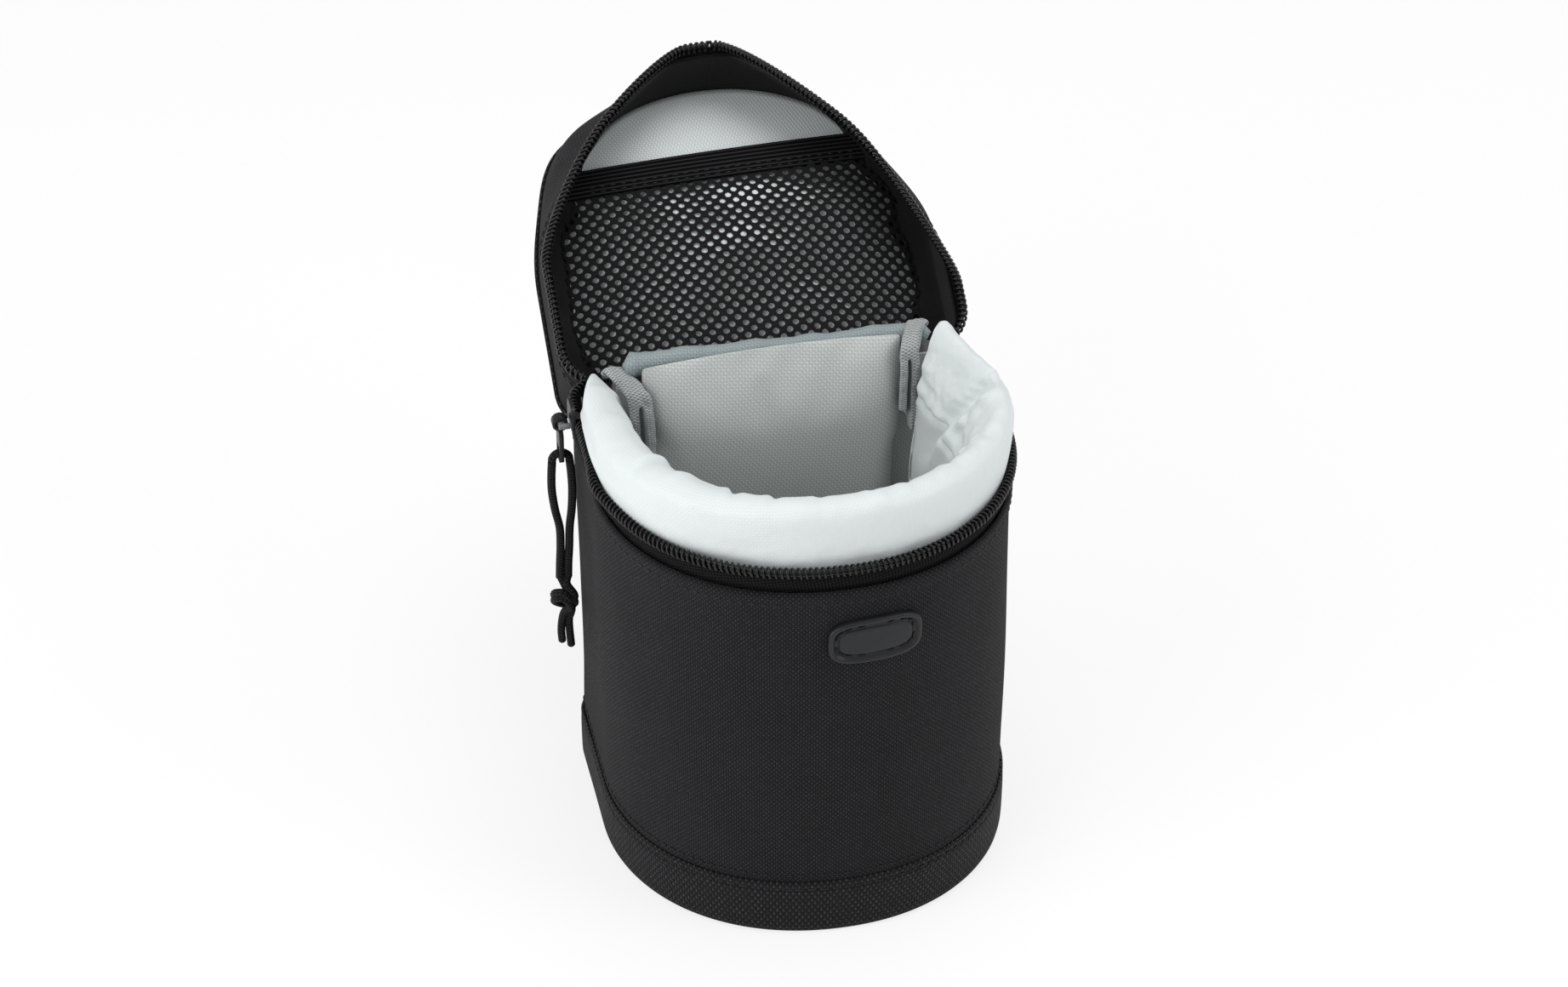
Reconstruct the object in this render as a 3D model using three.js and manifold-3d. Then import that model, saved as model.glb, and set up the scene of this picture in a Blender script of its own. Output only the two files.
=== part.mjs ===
// Padded lens pouch, drawn with its zipped lid folded open. Millimetres, +Z up.
// X is the width and the front faces -Y. The origin is on the base, under the widest line of the outline.
import * as THREE from "three";
import { mergeVertices } from "three/addons/utils/BufferGeometryUtils.js";
import Module from "manifold-3d";

// Outline seen from above: a rounded front, straight sides, a flat back with rounded corners
const bodyHalfWidth = 62;
const bodyFront = 63.4;
const bodyBack = 48;
const rearCornerRadius = 12;
const frontExponent = 2.1;
const frontSteps = 20;
const sideSteps = 2;
const cornerSteps = 3;

// Heights and the zip line
const zipHeight = 138.4;
const zipFlare = 1.5;
const fitGap = 0.3;
const looseGap = 0.8;
const overrun = 5;

// Outer skin of the body
const outerCloth = 1.2;
const bandHeight = 20;
const bandProud = 0.8;
const baseCloth = 1.5;
const baseBoardThickness = 2;
const baseFoamThickness = 9;
const shellTopBelowZip = 9.3;
const backTopBelowZip = 3.3;

// Padding and lining of the body
const wallFoamThickness = 8;
const liningCloth = 0.8;
const foamTopBelowZip = 8.6;
const backBoardThickness = 1.6;
const backFoamThickness = 6;
const backFoamTopAboveZip = 1.6;
const hemHeight = 6.2;
const hemHalfWidth = 46;
const padHalfWidth = 39.5;
const padThickness = 8.7;
const padTopAboveZip = 8.6;
const padEdgeShare = 0.45;
const padCornerExponent = 4.5;
const padWaistShare = 0.96;
const padRingPoints = 20;
const padRings = 8;

// Padded collar that stands above the zip
const collarOuterInset = 3.7;
const collarThickness = 10;
const collarFootBelowZip = 7.4;
const collarHeightAboveZip = 18.6;
const collarSteps = 6;

// Edge bindings of the two rear inside seams
const bindingWidth = 6;
const bindingLayer = 2;
const bindingDepth = 3.8;
const bindingTopAboveZip = 10.6;
const bindingShortLeg = 24;
const bindingLongLeg = 42;
const bindingFold = 5;

// Zip
const tapeThickness = 1;
const tapeWidth = 6;
const coilRadius = 1.2;
const coilSides = 6;
const zipGap = 1.6;
const zipEndCornerSteps = 2;

// Lid
const hingeInset = outerCloth / 2;
const openAngle = 150;
const lidHeight = 35.5;
const lidFoamThickness = 7;
const wallSeamY = 24;
const wallRows = 4;
const frontSplitDegrees = 0.3;

// Lean of the open lid's side walls: how far each half moves, and the shares of the half width, the
// depth of the front and the lid's height at which the lean starts and is full
const leftLean = 10;
const rightLean = 15;
const leanDegrees = 32.7;
const leftLeanStartShares = [-0.69, -0.528, 0.5];
const leftLeanFullShares = [-0.789, -0.604, 0.379];
const rightLeanStartShares = [0.681, -0.453, 0.5];
const rightLeanFullShares = [0.774, -0.514, 0.324];
const leanSolveSteps = 30;

// Cloth fold of the hinge
const foldRadius = 0.8;
const foldSteps = 6;

// Mesh pocket in the lid
const netThickness = 0.8;
const netStandOff = 2.2;
const netGapPitch = 8.4;
const netGapSize = 5;
const netBorder = 3;
const netSideRoom = 3;
const pocketMouth = 74;
const elasticWidth = 14;
const elasticThickness = 1.6;

// Badge
const badgeWidth = 30;
const badgeHeight = 14;
const badgeThickness = 2;
const badgeRight = 9.5;
const badgeCentreZ = 110;
const badgeCornerRadius = 5;
const badgeSteps = 10;

// Slider, its bridge and its pull
const sliderY = 28;
const sliderLength = 9;
const sliderHeight = 8.4;
const sliderPlate = 1.2;
const sliderPost = 3.2;
const sliderCorner = 2.6;
const plateCurveSegments = 3;
const bridgeLength = 7;
const bridgeBar = 1.6;
const bridgeReach = 3.6;
const bridgeBelowZip = 2.2;
const tabThickness = 1.4;
const tabWidth = 6.2;
const tabLength = 12;
const tabRim = 1.1;
const tabEyeBar = 1.2;
const cordRadius = 1.5;
const cordSides = 8;
const cordTurnRadius = 2.8;
const cordTurnSteps = 8;
const cordSteps = 7;
const knotTop = 78;
const knotHeight = 16;
const knotRadius = 5.2;
const knotSides = 10;
const knotRingShares = [-1, -0.8, -0.35, 0.35, 0.8, 1];
const tailLength = 10;

// Belt loop on the back
const strapWidth = 38;
const strapThickness = 2;
const strapTop = 92;
const strapBottom = 22;
const strapStandOff = 8.4;
const strapSlope = 9;
const anchorHeight = 12;
const patchHeight = 18;
const patchThickness = 1.4;

// Colours
const colours = {
  shell: "#2b2b2c",
  band: "#242425",
  lidCloth: "#29292a",
  rubber: "#1b1b1c",
  tape: "#333435",
  coil: "#141415",
  foam: "#55585a",
  board: "#3a3c3d",
  collar: "#e6eae9",
  lining: "#b4b9b7",
  pad: "#c3c8c4",
  hem: "#aab5b8",
  binding: "#a3a6a4",
  net: "#1a1a1b",
  elastic: "#1d1d1e",
  brushed: "#202021",
  metal: "#3c3d3f",
  cord: "#161617",
};

// Sizes that follow from the ones above
const hingeY = bodyBack - hingeInset;
const floorTop = baseCloth + fitGap + baseBoardThickness + fitGap + baseFoamThickness;
const innerFloor = floorTop + fitGap;
const foamOut = -(outerCloth + fitGap);
const liningOut = foamOut - wallFoamThickness - fitGap;
const shellTop = zipHeight - shellTopBelowZip;
const lowerCoilZ = zipHeight - zipGap / 2 - coilRadius;
const lowerTapeTop = lowerCoilZ - coilRadius - fitGap;
const upperCoilH = zipGap / 2 + coilRadius;
const upperTapeH = upperCoilH + coilRadius + fitGap;
const wallFootH = upperTapeH + tapeWidth + fitGap;
const wallHeadH = lidHeight - outerCloth - fitGap;
const lidFoamH = wallHeadH - lidFoamThickness;
const lidLiningH = lidFoamH - fitGap - liningCloth;
const netH = lidLiningH - netStandOff - netThickness;
const sideLiningTopH = lidLiningH - fitGap;
const backBoardY = bodyBack - outerCloth - fitGap - backBoardThickness;
const backFoamY = backBoardY - fitGap - backFoamThickness;
const backLiningY = backFoamY - fitGap - liningCloth;
const padBackY = backLiningY - fitGap;
const backFoamTop = zipHeight + backFoamTopAboveZip;

const wasm = await Module();
wasm.setup();

// A place on the outline with its outward direction
function station(x, y, nx, ny) {
  const size = Math.hypot(nx, ny);
  return { x, y, nx: nx / size, ny: ny / size };
}

// A point of the rounded front, a superellipse, at an angle from the widest line towards the front
function superPoint(angle) {
  const across = Math.abs(Math.cos(angle)) ** (2 / frontExponent);
  const along = Math.abs(Math.sin(angle)) ** (2 / frontExponent);
  return { x: Math.sign(Math.cos(angle)) * across * bodyHalfWidth, y: -along * bodyFront };
}

// Front stations from one angle to another, where -90 degrees is the middle of the front
function frontStations(startDegrees = -180, endDegrees = 0, steps = frontSteps) {
  const list = [];
  for (let i = 0; i <= steps; i++) {
    const share = i / steps;
    const degrees = startDegrees + (endDegrees - startDegrees) * share;
    const angle = THREE.MathUtils.degToRad(degrees);
    const p = superPoint(angle);
    const nx = Math.sign(p.x) * Math.abs(p.x / bodyHalfWidth) ** (frontExponent - 1) / bodyHalfWidth;
    const ny = -(Math.abs(p.y / bodyFront) ** (frontExponent - 1)) / bodyFront;
    list.push(station(p.x, p.y, nx, ny));
  }
  return list;
}

// Side stations between two depths, on the left (-1) or the right (+1)
function sideStations(side, fromY, toY) {
  const list = [];
  for (let i = 0; i <= sideSteps; i++) {
    const y = fromY + ((toY - fromY) * i) / sideSteps;
    list.push(station(side * bodyHalfWidth, y, side, 0));
  }
  return list;
}

// Rear corner stations, counted from the straight side towards the back
function cornerStations(side, lastStep = cornerSteps) {
  const list = [];
  const centreX = bodyHalfWidth - rearCornerRadius;
  const centreY = bodyBack - rearCornerRadius;
  for (let i = 1; i <= lastStep; i++) {
    const angle = ((Math.PI / 2) * i) / cornerSteps;
    const nx = side * Math.cos(angle);
    const ny = Math.sin(angle);
    const x = side * centreX + nx * rearCornerRadius;
    list.push(station(x, centreY + ny * rearCornerRadius, nx, ny));
  }
  return list;
}

// The whole way round from the left rear to the right rear, by the front
function wrapStations(lastCorner) {
  const straight = bodyBack - rearCornerRadius;
  return [
    ...cornerStations(-1, lastCorner).reverse(),
    ...sideStations(-1, straight, 0).slice(0, -1),
    ...frontStations(),
    ...sideStations(1, 0, straight).slice(1),
    ...cornerStations(1, lastCorner),
  ];
}

const fullWrap = wrapStations(cornerSteps);
const sidesAndFront = wrapStations(0);
const zipWrap = wrapStations(zipEndCornerSteps);

// A point of the body, set out from the outline, which flares towards the zip
function bodyPoint(place, out, z) {
  const reach = out + zipFlare * Math.min(1, z / zipHeight);
  const y = Math.min(place.y + place.ny * reach, bodyBack + out);
  return new THREE.Vector3(place.x + place.nx * reach, y, z);
}

// How a half of the lid's wall leans in while the lid is open
function leanOf(side, travel, startShares, fullShares) {
  const sizes = [bodyHalfWidth, bodyFront, lidHeight];
  const start = new THREE.Vector3(...startShares.map((share, i) => share * sizes[i]));
  const ramp = new THREE.Vector3(...fullShares.map((share, i) => share * sizes[i])).sub(start);
  const turn = THREE.MathUtils.degToRad(leanDegrees);
  const move = new THREE.Vector3(side * Math.cos(turn), -Math.sin(turn), 0).multiplyScalar(travel);
  return { start, ramp, move };
}

const leftLeaning = leanOf(-1, leftLean, leftLeanStartShares, leftLeanFullShares);
const rightLeaning = leanOf(1, rightLean, rightLeanStartShares, rightLeanFullShares);

// The lean that leaves a point where a soft wall, eased between the lid and its half, comes round
function leanAt(x, y, height) {
  const { start, ramp, move } = x < 0 ? leftLeaning : rightLeaning;
  const round = new THREE.Vector3(x, y, height);
  let low = 0;
  let high = 1;
  for (let i = 0; i < leanSolveSteps; i++) {
    const share = (low + high) / 2;
    const leant = round.clone().addScaledVector(move, -share).sub(start);
    const eased = THREE.MathUtils.smoothstep(leant.dot(ramp) / ramp.lengthSq(), 0, 1);
    if (eased > share) low = share;
    else high = share;
  }
  return move.clone().multiplyScalar(-low);
}

// A point of the closed lid, at a height above the zip, leant in as it stands while open
function lidPoint(place, out, height) {
  const flare = zipFlare * (1 - height / lidHeight);
  const middle = flare - tapeThickness / 2;
  const lean = leanAt(place.x + place.nx * middle, place.y + place.ny * middle, height);
  const x = place.x + place.nx * (out + flare) + lean.x;
  const y = Math.min(place.y + place.ny * (out + flare) + lean.y, bodyBack + out);
  return new THREE.Vector3(x, y, zipHeight + height);
}

// A closed skin over rings of equal count, with flat ends unless it joins up
function skin(rings, contours, joined = false) {
  const count = rings[0].length;
  const points = rings.flat();
  const faces = [];
  const spans = joined ? rings.length : rings.length - 1;
  for (let k = 0; k < spans; k++) {
    const next = ((k + 1) % rings.length) * count;
    for (let j = 0; j < count; j++) {
      const a = k * count + j;
      const b = k * count + ((j + 1) % count);
      const c = next + ((j + 1) % count);
      const d = next + j;
      const straight = points[a].distanceTo(points[c]) < points[b].distanceTo(points[d]);
      if (straight) faces.push([a, b, c], [a, c, d]);
      else faces.push([a, b, d], [b, c, d]);
    }
  }
  if (!joined) {
    const last = (rings.length - 1) * count;
    for (const [index, contour] of contours.entries()) {
      const turned = THREE.ShapeUtils.area(contour) < 0;
      for (const [i, j, k] of THREE.ShapeUtils.triangulateShape(contour, [])) {
        const face = turned === (index === 0) ? [i, j, k] : [i, k, j];
        faces.push(index === 0 ? face : face.map((v) => v + last));
      }
    }
  }
  let volume = 0;
  const cross = new THREE.Vector3();
  for (const [i, j, k] of faces) {
    volume += points[i].dot(cross.crossVectors(points[j], points[k]));
  }
  const index = faces.flatMap(([i, j, k]) => (volume < 0 ? [i, k, j] : [i, j, k]));
  const geometry = new THREE.BufferGeometry();
  const positions = points.flatMap((p) => [p.x, p.y, p.z]);
  geometry.setAttribute("position", new THREE.Float32BufferAttribute(positions, 3));
  geometry.setIndex(index);
  return geometry;
}

// A strip that follows stations with a profile of [out, height] points
function strip(stations, profileAt, pointAt, joined = false) {
  const profiles = stations.map((place) => profileAt(place));
  const rings = stations.map((place, i) => profiles[i].map(([out, z]) => pointAt(place, out, z)));
  const ends = [profiles[0], profiles.at(-1)];
  const contours = ends.map((profile) => profile.map(([out, z]) => new THREE.Vector2(out, z)));
  return skin(rings, contours, joined);
}

// A stack of level rings, closed at the bottom and the top
function loft(rings) {
  const contours = [rings[0], rings.at(-1)].map((ring) => ring.map((p) => new THREE.Vector2(p.x, p.y)));
  return skin(rings, contours);
}

function wallProfile(outer, inner, low, high) {
  return () => [[outer, low], [outer, high], [inner, high], [inner, low]];
}

// A flat panel with the outline of the body or the lid
function panel(pointAt, out, low, high) {
  const rings = [low, high].map((level) => fullWrap.map((place) => pointAt(place, out, level)));
  return loft(rings);
}

function boxBetween(low, high) {
  const size = high.map((value, i) => value - low[i]);
  const centre = high.map((value, i) => (value + low[i]) / 2);
  return new THREE.BoxGeometry(...size).translate(...centre);
}

function roundedShape(halfWidth, halfHeight, radius) {
  const r = Math.min(radius, halfWidth, halfHeight);
  const shape = new THREE.Shape();
  shape.moveTo(halfWidth, -halfHeight + r);
  shape.lineTo(halfWidth, halfHeight - r);
  shape.absarc(halfWidth - r, halfHeight - r, r, 0, Math.PI / 2);
  shape.lineTo(-halfWidth + r, halfHeight);
  shape.absarc(-halfWidth + r, halfHeight - r, r, Math.PI / 2, Math.PI);
  shape.lineTo(-halfWidth, -halfHeight + r);
  shape.absarc(-halfWidth + r, -halfHeight + r, r, Math.PI, 1.5 * Math.PI);
  shape.lineTo(halfWidth - r, -halfHeight);
  shape.absarc(halfWidth - r, -halfHeight + r, r, 1.5 * Math.PI, 2 * Math.PI);
  return shape;
}

function extrudeShape(shape, depth) {
  const options = { depth, bevelEnabled: false, curveSegments: plateCurveSegments };
  return new THREE.ExtrudeGeometry(shape, options);
}

// Turns a drawing in the YZ plane so that its thickness runs along +X
const acrossX = new THREE.Matrix4().makeBasis(
  new THREE.Vector3(0, 1, 0),
  new THREE.Vector3(0, 0, 1),
  new THREE.Vector3(1, 0, 0),
);

// Turns a drawing in the XZ plane so that its thickness runs along -Y
const acrossY = new THREE.Matrix4().makeBasis(
  new THREE.Vector3(1, 0, 0),
  new THREE.Vector3(0, 0, 1),
  new THREE.Vector3(0, -1, 0),
);

function solidOf(geometry) {
  const bare = geometry.index ? geometry.toNonIndexed() : geometry.clone();
  bare.deleteAttribute("normal");
  bare.deleteAttribute("uv");
  const merged = mergeVertices(bare);
  const vertProperties = merged.attributes.position.array;
  const triVerts = new Uint32Array(merged.index.array);
  return new wasm.Manifold(new wasm.Mesh({ numProp: 3, vertProperties, triVerts }));
}

function geometryOf(solid) {
  const mesh = solid.getMesh();
  const geometry = new THREE.BufferGeometry();
  geometry.setAttribute("position", new THREE.BufferAttribute(mesh.vertProperties, 3));
  geometry.setIndex(new THREE.BufferAttribute(mesh.triVerts, 1));
  return geometry;
}

function joinAll(geometries) {
  return geometryOf(geometries.map(solidOf).reduce((sum, next) => sum.add(next)));
}

function named(name, geometry, colour, roughness = 0.9, metalness = 0) {
  geometry.computeVertexNormals();
  const material = new THREE.MeshStandardMaterial({ color: colour, roughness, metalness });
  material.side = THREE.FrontSide;
  const mesh = new THREE.Mesh(geometry, material);
  mesh.name = name;
  return mesh;
}

// Base: cloth disc, stiff board, foam and its lining, inside a heavy band
function baseParts() {
  const boardZ = baseCloth + fitGap;
  const foamZ = boardZ + baseBoardThickness + fitGap;
  const bandInner = -outerCloth;
  const bandTop = bandHeight - fitGap;
  const band = wallProfile(bandProud, bandInner, 0, bandTop);
  const insideBand = bandInner - fitGap;
  const floorLining = liningOut - liningCloth - fitGap;
  return [
    named("base_band", strip(fullWrap, band, bodyPoint, true), colours.band),
    named("base_panel", panel(bodyPoint, insideBand, 0, baseCloth), colours.shell),
    named("base_board", panel(bodyPoint, insideBand, boardZ, boardZ + baseBoardThickness), colours.board),
    named("base_foam", panel(bodyPoint, insideBand, foamZ, floorTop), colours.foam),
    named("base_lining", floorPanel(floorLining), colours.lining),
  ];
}

// The floor lining stops at the pad of the back wall
function floorPanel(out) {
  const low = innerFloor;
  const frontPad = padBackY - padThickness - fitGap;
  const rings = [low, low + liningCloth].map((z) =>
    sidesAndFront.map((place) => {
      const point = bodyPoint(place, out, z);
      point.y = Math.min(point.y, frontPad);
      return point;
    }),
  );
  return loft(rings);
}

// Walls of the body: outer cloth, foam and lining, each wrapped from corner to corner
function wallParts() {
  const shell = wallProfile(0, -outerCloth, bandHeight, shellTop);
  const foamTop = zipHeight - foamTopBelowZip;
  const foam = wallProfile(foamOut, foamOut - wallFoamThickness, innerFloor, foamTop);
  const lining = wallProfile(liningOut, liningOut - liningCloth, innerFloor, foamTop);
  return [
    named("front_shell", strip(fullWrap, shell, bodyPoint), colours.shell),
    named("wall_foam", strip(fullWrap, foam, bodyPoint), colours.foam),
    named("compartment_lining", strip(fullWrap, lining, bodyPoint), colours.lining),
  ];
}

// Rounded padded roll that stands above the zip
function collarParts() {
  const low = zipHeight - collarFootBelowZip;
  const high = zipHeight + collarHeightAboveZip;
  const half = collarThickness / 2;
  const outer = -(collarOuterInset + zipFlare);
  const middle = outer - half;
  const profile = [[outer, low]];
  for (let i = 0; i <= collarSteps; i++) {
    const angle = (Math.PI * i) / collarSteps;
    profile.push([middle + half * Math.cos(angle), high - half + half * Math.sin(angle)]);
  }
  profile.push([middle - half, low]);
  return [named("padded_collar", strip(sidesAndFront, () => profile, bodyPoint), colours.collar)];
}

// Back wall, from the outside in: cloth, board, foam with its rolled hem, lining and pad
function backParts() {
  const half = bodyHalfWidth - rearCornerRadius - fitGap;
  const clothY = bodyBack - outerCloth;
  const clothTop = zipHeight - backTopBelowZip;
  const clothLow = [-half, clothY, bandHeight];
  const boardLow = [-half, backBoardY, innerFloor];
  const boardHigh = [half, backBoardY + backBoardThickness, clothTop];
  const foamLow = [-half, backFoamY, innerFloor];
  const foamHigh = [half, backFoamY + backFoamThickness, backFoamTop];
  const liningLow = [-half, backLiningY, innerFloor];
  const liningHigh = [half, backLiningY + liningCloth, backFoamTop];
  return [
    named("back_panel", boxBetween(clothLow, [half, bodyBack, clothTop]), colours.shell),
    named("back_board", boxBetween(boardLow, boardHigh), colours.board),
    named("back_foam", boxBetween(foamLow, foamHigh), colours.foam),
    named("back_lining", boxBetween(liningLow, liningHigh), colours.lining),
    named("back_hem", hemGeometry(), colours.hem),
    named("back_pad", padGeometry(), colours.pad),
  ];
}

function hemGeometry() {
  const half = backFoamThickness / 2;
  const low = backFoamTop + fitGap;
  const shape = new THREE.Shape();
  shape.moveTo(-half, 0);
  shape.lineTo(half, 0);
  shape.lineTo(half, hemHeight - half);
  shape.absarc(0, hemHeight - half, half, 0, Math.PI);
  shape.lineTo(-half, 0);
  const hem = extrudeShape(shape, hemHalfWidth * 2).applyMatrix4(acrossX);
  return hem.translate(-hemHalfWidth, backFoamY + half, low);
}

// Crowned pad: thickest in the middle, thin at its edges, with sides drawn in at mid height
function padGeometry() {
  const low = innerFloor;
  const high = zipHeight + padTopAboveZip;
  const rings = [];
  for (let k = 0; k <= padRings; k++) {
    const up = k / padRings;
    const edge = Math.abs(2 * up - 1);
    const crown = (1 - edge ** padCornerExponent) ** (1 / padCornerExponent);
    const depth = padThickness * (padEdgeShare + (1 - padEdgeShare) * crown);
    const waist = padWaistShare + (1 - padWaistShare) * edge ** 2;
    const ring = [];
    for (let j = 0; j <= padRingPoints; j++) {
      const across = 1 - (2 * j) / padRingPoints;
      const swell = (1 - Math.abs(across) ** padCornerExponent) ** (1 / padCornerExponent);
      const y = padBackY - depth * (padEdgeShare + (1 - padEdgeShare) * swell);
      ring.push(new THREE.Vector3(across * padHalfWidth * waist, y, low + (high - low) * up));
    }
    const backX = padHalfWidth * waist;
    ring.push(new THREE.Vector3(-backX, padBackY, low + (high - low) * up));
    ring.push(new THREE.Vector3(backX, padBackY, low + (high - low) * up));
    rings.push(ring);
  }
  return loft(rings);
}

// A folded tape over each rear inside seam: a short leg inside and a long leg outside
function bindingGeometry(side) {
  const top = zipHeight + bindingTopAboveZip;
  const outer = bodyHalfWidth - collarOuterInset - collarThickness - fitGap;
  const inner = outer - bindingWidth;
  const outline = [
    [inner, top - bindingShortLeg],
    [inner + bindingLayer, top - bindingShortLeg],
    [inner + bindingLayer, top - bindingFold],
    [outer - bindingLayer, top - bindingFold],
    [outer - bindingLayer, top - bindingLongLeg],
    [outer, top - bindingLongLeg],
    [outer, top - bindingLayer],
    [outer - bindingLayer, top],
    [inner + bindingLayer, top],
    [inner, top - bindingLayer],
  ];
  const points = outline.map(([x, z]) => new THREE.Vector2(side * x, z));
  const shape = new THREE.Shape(side > 0 ? points : points.reverse());
  return extrudeShape(shape, bindingDepth).applyMatrix4(acrossY).translate(0, padBackY, 0);
}

function bindingParts() {
  return [
    named("seam_binding_left", bindingGeometry(-1), colours.binding),
    named("seam_binding_right", bindingGeometry(1), colours.binding),
  ];
}

function coilProfile(centreOut, centreZ) {
  const profile = [];
  for (let i = 0; i < coilSides; i++) {
    const angle = (2 * Math.PI * (i + 1 / 2)) / coilSides;
    profile.push([centreOut + coilRadius * Math.cos(angle), centreZ + coilRadius * Math.sin(angle)]);
  }
  return () => profile;
}

function lowerZipParts() {
  const tape = wallProfile(0, -tapeThickness, shellTop + fitGap, lowerTapeTop);
  const coil = coilProfile(-tapeThickness / 2, lowerCoilZ);
  return [
    named("lower_zip_tape", strip(zipWrap, tape, bodyPoint), colours.tape),
    named("lower_zip_coil", strip(zipWrap, coil, bodyPoint), colours.coil, 0.5),
  ];
}

// Badge: a soft rubber tile that follows the curve of the front
function badgeParts() {
  const half = badgeWidth / 2;
  const angleAt = (x) => THREE.MathUtils.radToDeg(-Math.acos((x / bodyHalfWidth) ** (frontExponent / 2)));
  const list = [];
  for (let i = 0; i <= badgeSteps; i++) {
    const across = -half + (badgeWidth * i) / badgeSteps;
    const x = badgeRight + across;
    const degrees = x < 0 ? -180 - angleAt(-x) : angleAt(x);
    const place = frontStations(degrees, degrees, 1)[0];
    const past = Math.max(0, Math.abs(across) - (half - badgeCornerRadius));
    const drop = badgeCornerRadius - Math.sqrt(Math.max(0, badgeCornerRadius ** 2 - past ** 2));
    list.push({ ...place, half: badgeHeight / 2 - drop });
  }
  const profile = (place) => {
    const low = badgeCentreZ - place.half;
    const high = badgeCentreZ + place.half;
    return [[badgeThickness, low], [badgeThickness, high], [fitGap, high], [fitGap, low]];
  };
  return [named("badge", strip(list, profile, bodyPoint), colours.rubber, 0.6)];
}

// Slider body: two plates on either side of both coils, joined by a post between the coils
function sliderParts() {
  const coilMiddle = tapeThickness / 2 - bodyHalfWidth - zipFlare;
  const channel = coilRadius + fitGap;
  const outerPlate = coilMiddle - channel - sliderPlate;
  const plate = roundedShape(sliderLength / 2, sliderHeight / 2, sliderCorner);
  const plates = [outerPlate, coilMiddle + channel].map((x) =>
    extrudeShape(plate, sliderPlate).applyMatrix4(acrossX).translate(x, sliderY, zipHeight),
  );
  const postHalf = zipGap / 2 - fitGap;
  const postFront = sliderY - sliderLength / 2 + sliderPlate;
  const postLow = [outerPlate + sliderPlate / 2, postFront, zipHeight - postHalf];
  const postHigh = [coilMiddle + channel + sliderPlate / 2, postFront + sliderPost, zipHeight + postHalf];
  const body = joinAll([...plates, boxBetween(postLow, postHigh)]);
  return {
    outerPlate,
    meshes: [
      named("zip_slider", body, colours.metal, 0.45, 0.6),
      named("slider_bridge", bridgeGeometry(outerPlate), colours.metal, 0.35, 0.8),
    ],
  };
}

// Bridge: a low arch on the outer plate, with its bar along the zip
function bridgeGeometry(outerPlate) {
  const half = bridgeLength / 2;
  const shape = new THREE.Shape();
  shape.moveTo(-half, 0);
  shape.lineTo(-half, bridgeReach);
  shape.lineTo(half, bridgeReach);
  shape.lineTo(half, 0);
  shape.lineTo(half - bridgeBar, 0);
  shape.lineTo(half - bridgeBar, bridgeReach - bridgeBar);
  shape.lineTo(-half + bridgeBar, bridgeReach - bridgeBar);
  shape.lineTo(-half + bridgeBar, 0);
  const upright = new THREE.Matrix4().makeBasis(
    new THREE.Vector3(0, 1, 0),
    new THREE.Vector3(-1, 0, 0),
    new THREE.Vector3(0, 0, 1),
  );
  const arch = extrudeShape(shape, bridgeBar).applyMatrix4(upright);
  return arch.translate(outerPlate - fitGap, sliderY, zipHeight - bridgeBelowZip - bridgeBar / 2);
}

// Middle of the bridge's bar, which the pull swings on
function pullPivot(outerPlate) {
  const x = outerPlate - fitGap - bridgeReach + bridgeBar / 2;
  return new THREE.Vector3(x, sliderY, zipHeight - bridgeBelowZip);
}

// Pull tab: an eye round the bridge's bar, and a flat frame that the cord goes through
function tabGeometry(pivot) {
  const eyeInner = (bridgeBar / 2) * Math.SQRT2 + fitGap;
  const eyeOuter = eyeInner + tabRim;
  const eyeWidth = bridgeLength - 2 * bridgeBar - 2 * fitGap;
  const ring = [
    new THREE.Vector2(eyeInner, -eyeWidth / 2),
    new THREE.Vector2(eyeOuter, -eyeWidth / 2),
    new THREE.Vector2(eyeOuter, eyeWidth / 2),
    new THREE.Vector2(eyeInner, eyeWidth / 2),
    new THREE.Vector2(eyeInner, -eyeWidth / 2),
  ];
  const eye = new THREE.LatheGeometry(ring, coilSides * 2).translate(pivot.x, pivot.y, pivot.z);
  const plateTop = pivot.z - eyeInner - tabRim / 2;
  const plateMiddle = plateTop - tabLength / 2;
  const plate = extrudeShape(roundedShape(tabWidth / 2, tabLength / 2, tabRim * 2), tabThickness);
  plate.applyMatrix4(acrossX).translate(pivot.x - tabThickness / 2, pivot.y, plateMiddle);
  const windowHalf = cordRadius + fitGap;
  const windowLow = plateTop - tabLength + tabEyeBar;
  const window = boxBetween(
    [pivot.x - overrun, pivot.y - windowHalf, windowLow],
    [pivot.x + overrun, pivot.y + windowHalf, windowLow + cordTurnRadius + cordRadius + fitGap],
  );
  const cut = solidOf(eye).add(solidOf(plate)).subtract(solidOf(window));
  const barZ = windowLow - tabEyeBar / 2;
  return { geometry: geometryOf(cut), barZ };
}

function cordSection() {
  const shape = new THREE.Shape();
  for (let i = 0; i < cordSides; i++) {
    const angle = (2 * Math.PI * i) / cordSides;
    const x = cordRadius * Math.cos(angle);
    const y = cordRadius * Math.sin(angle);
    if (i === 0) shape.moveTo(x, y);
    else shape.lineTo(x, y);
  }
  return shape;
}

function cordAlong(points, steps) {
  const path = new THREE.CatmullRomCurve3(points);
  return new THREE.ExtrudeGeometry(cordSection(), { steps, bevelEnabled: false, extrudePath: path });
}

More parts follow.
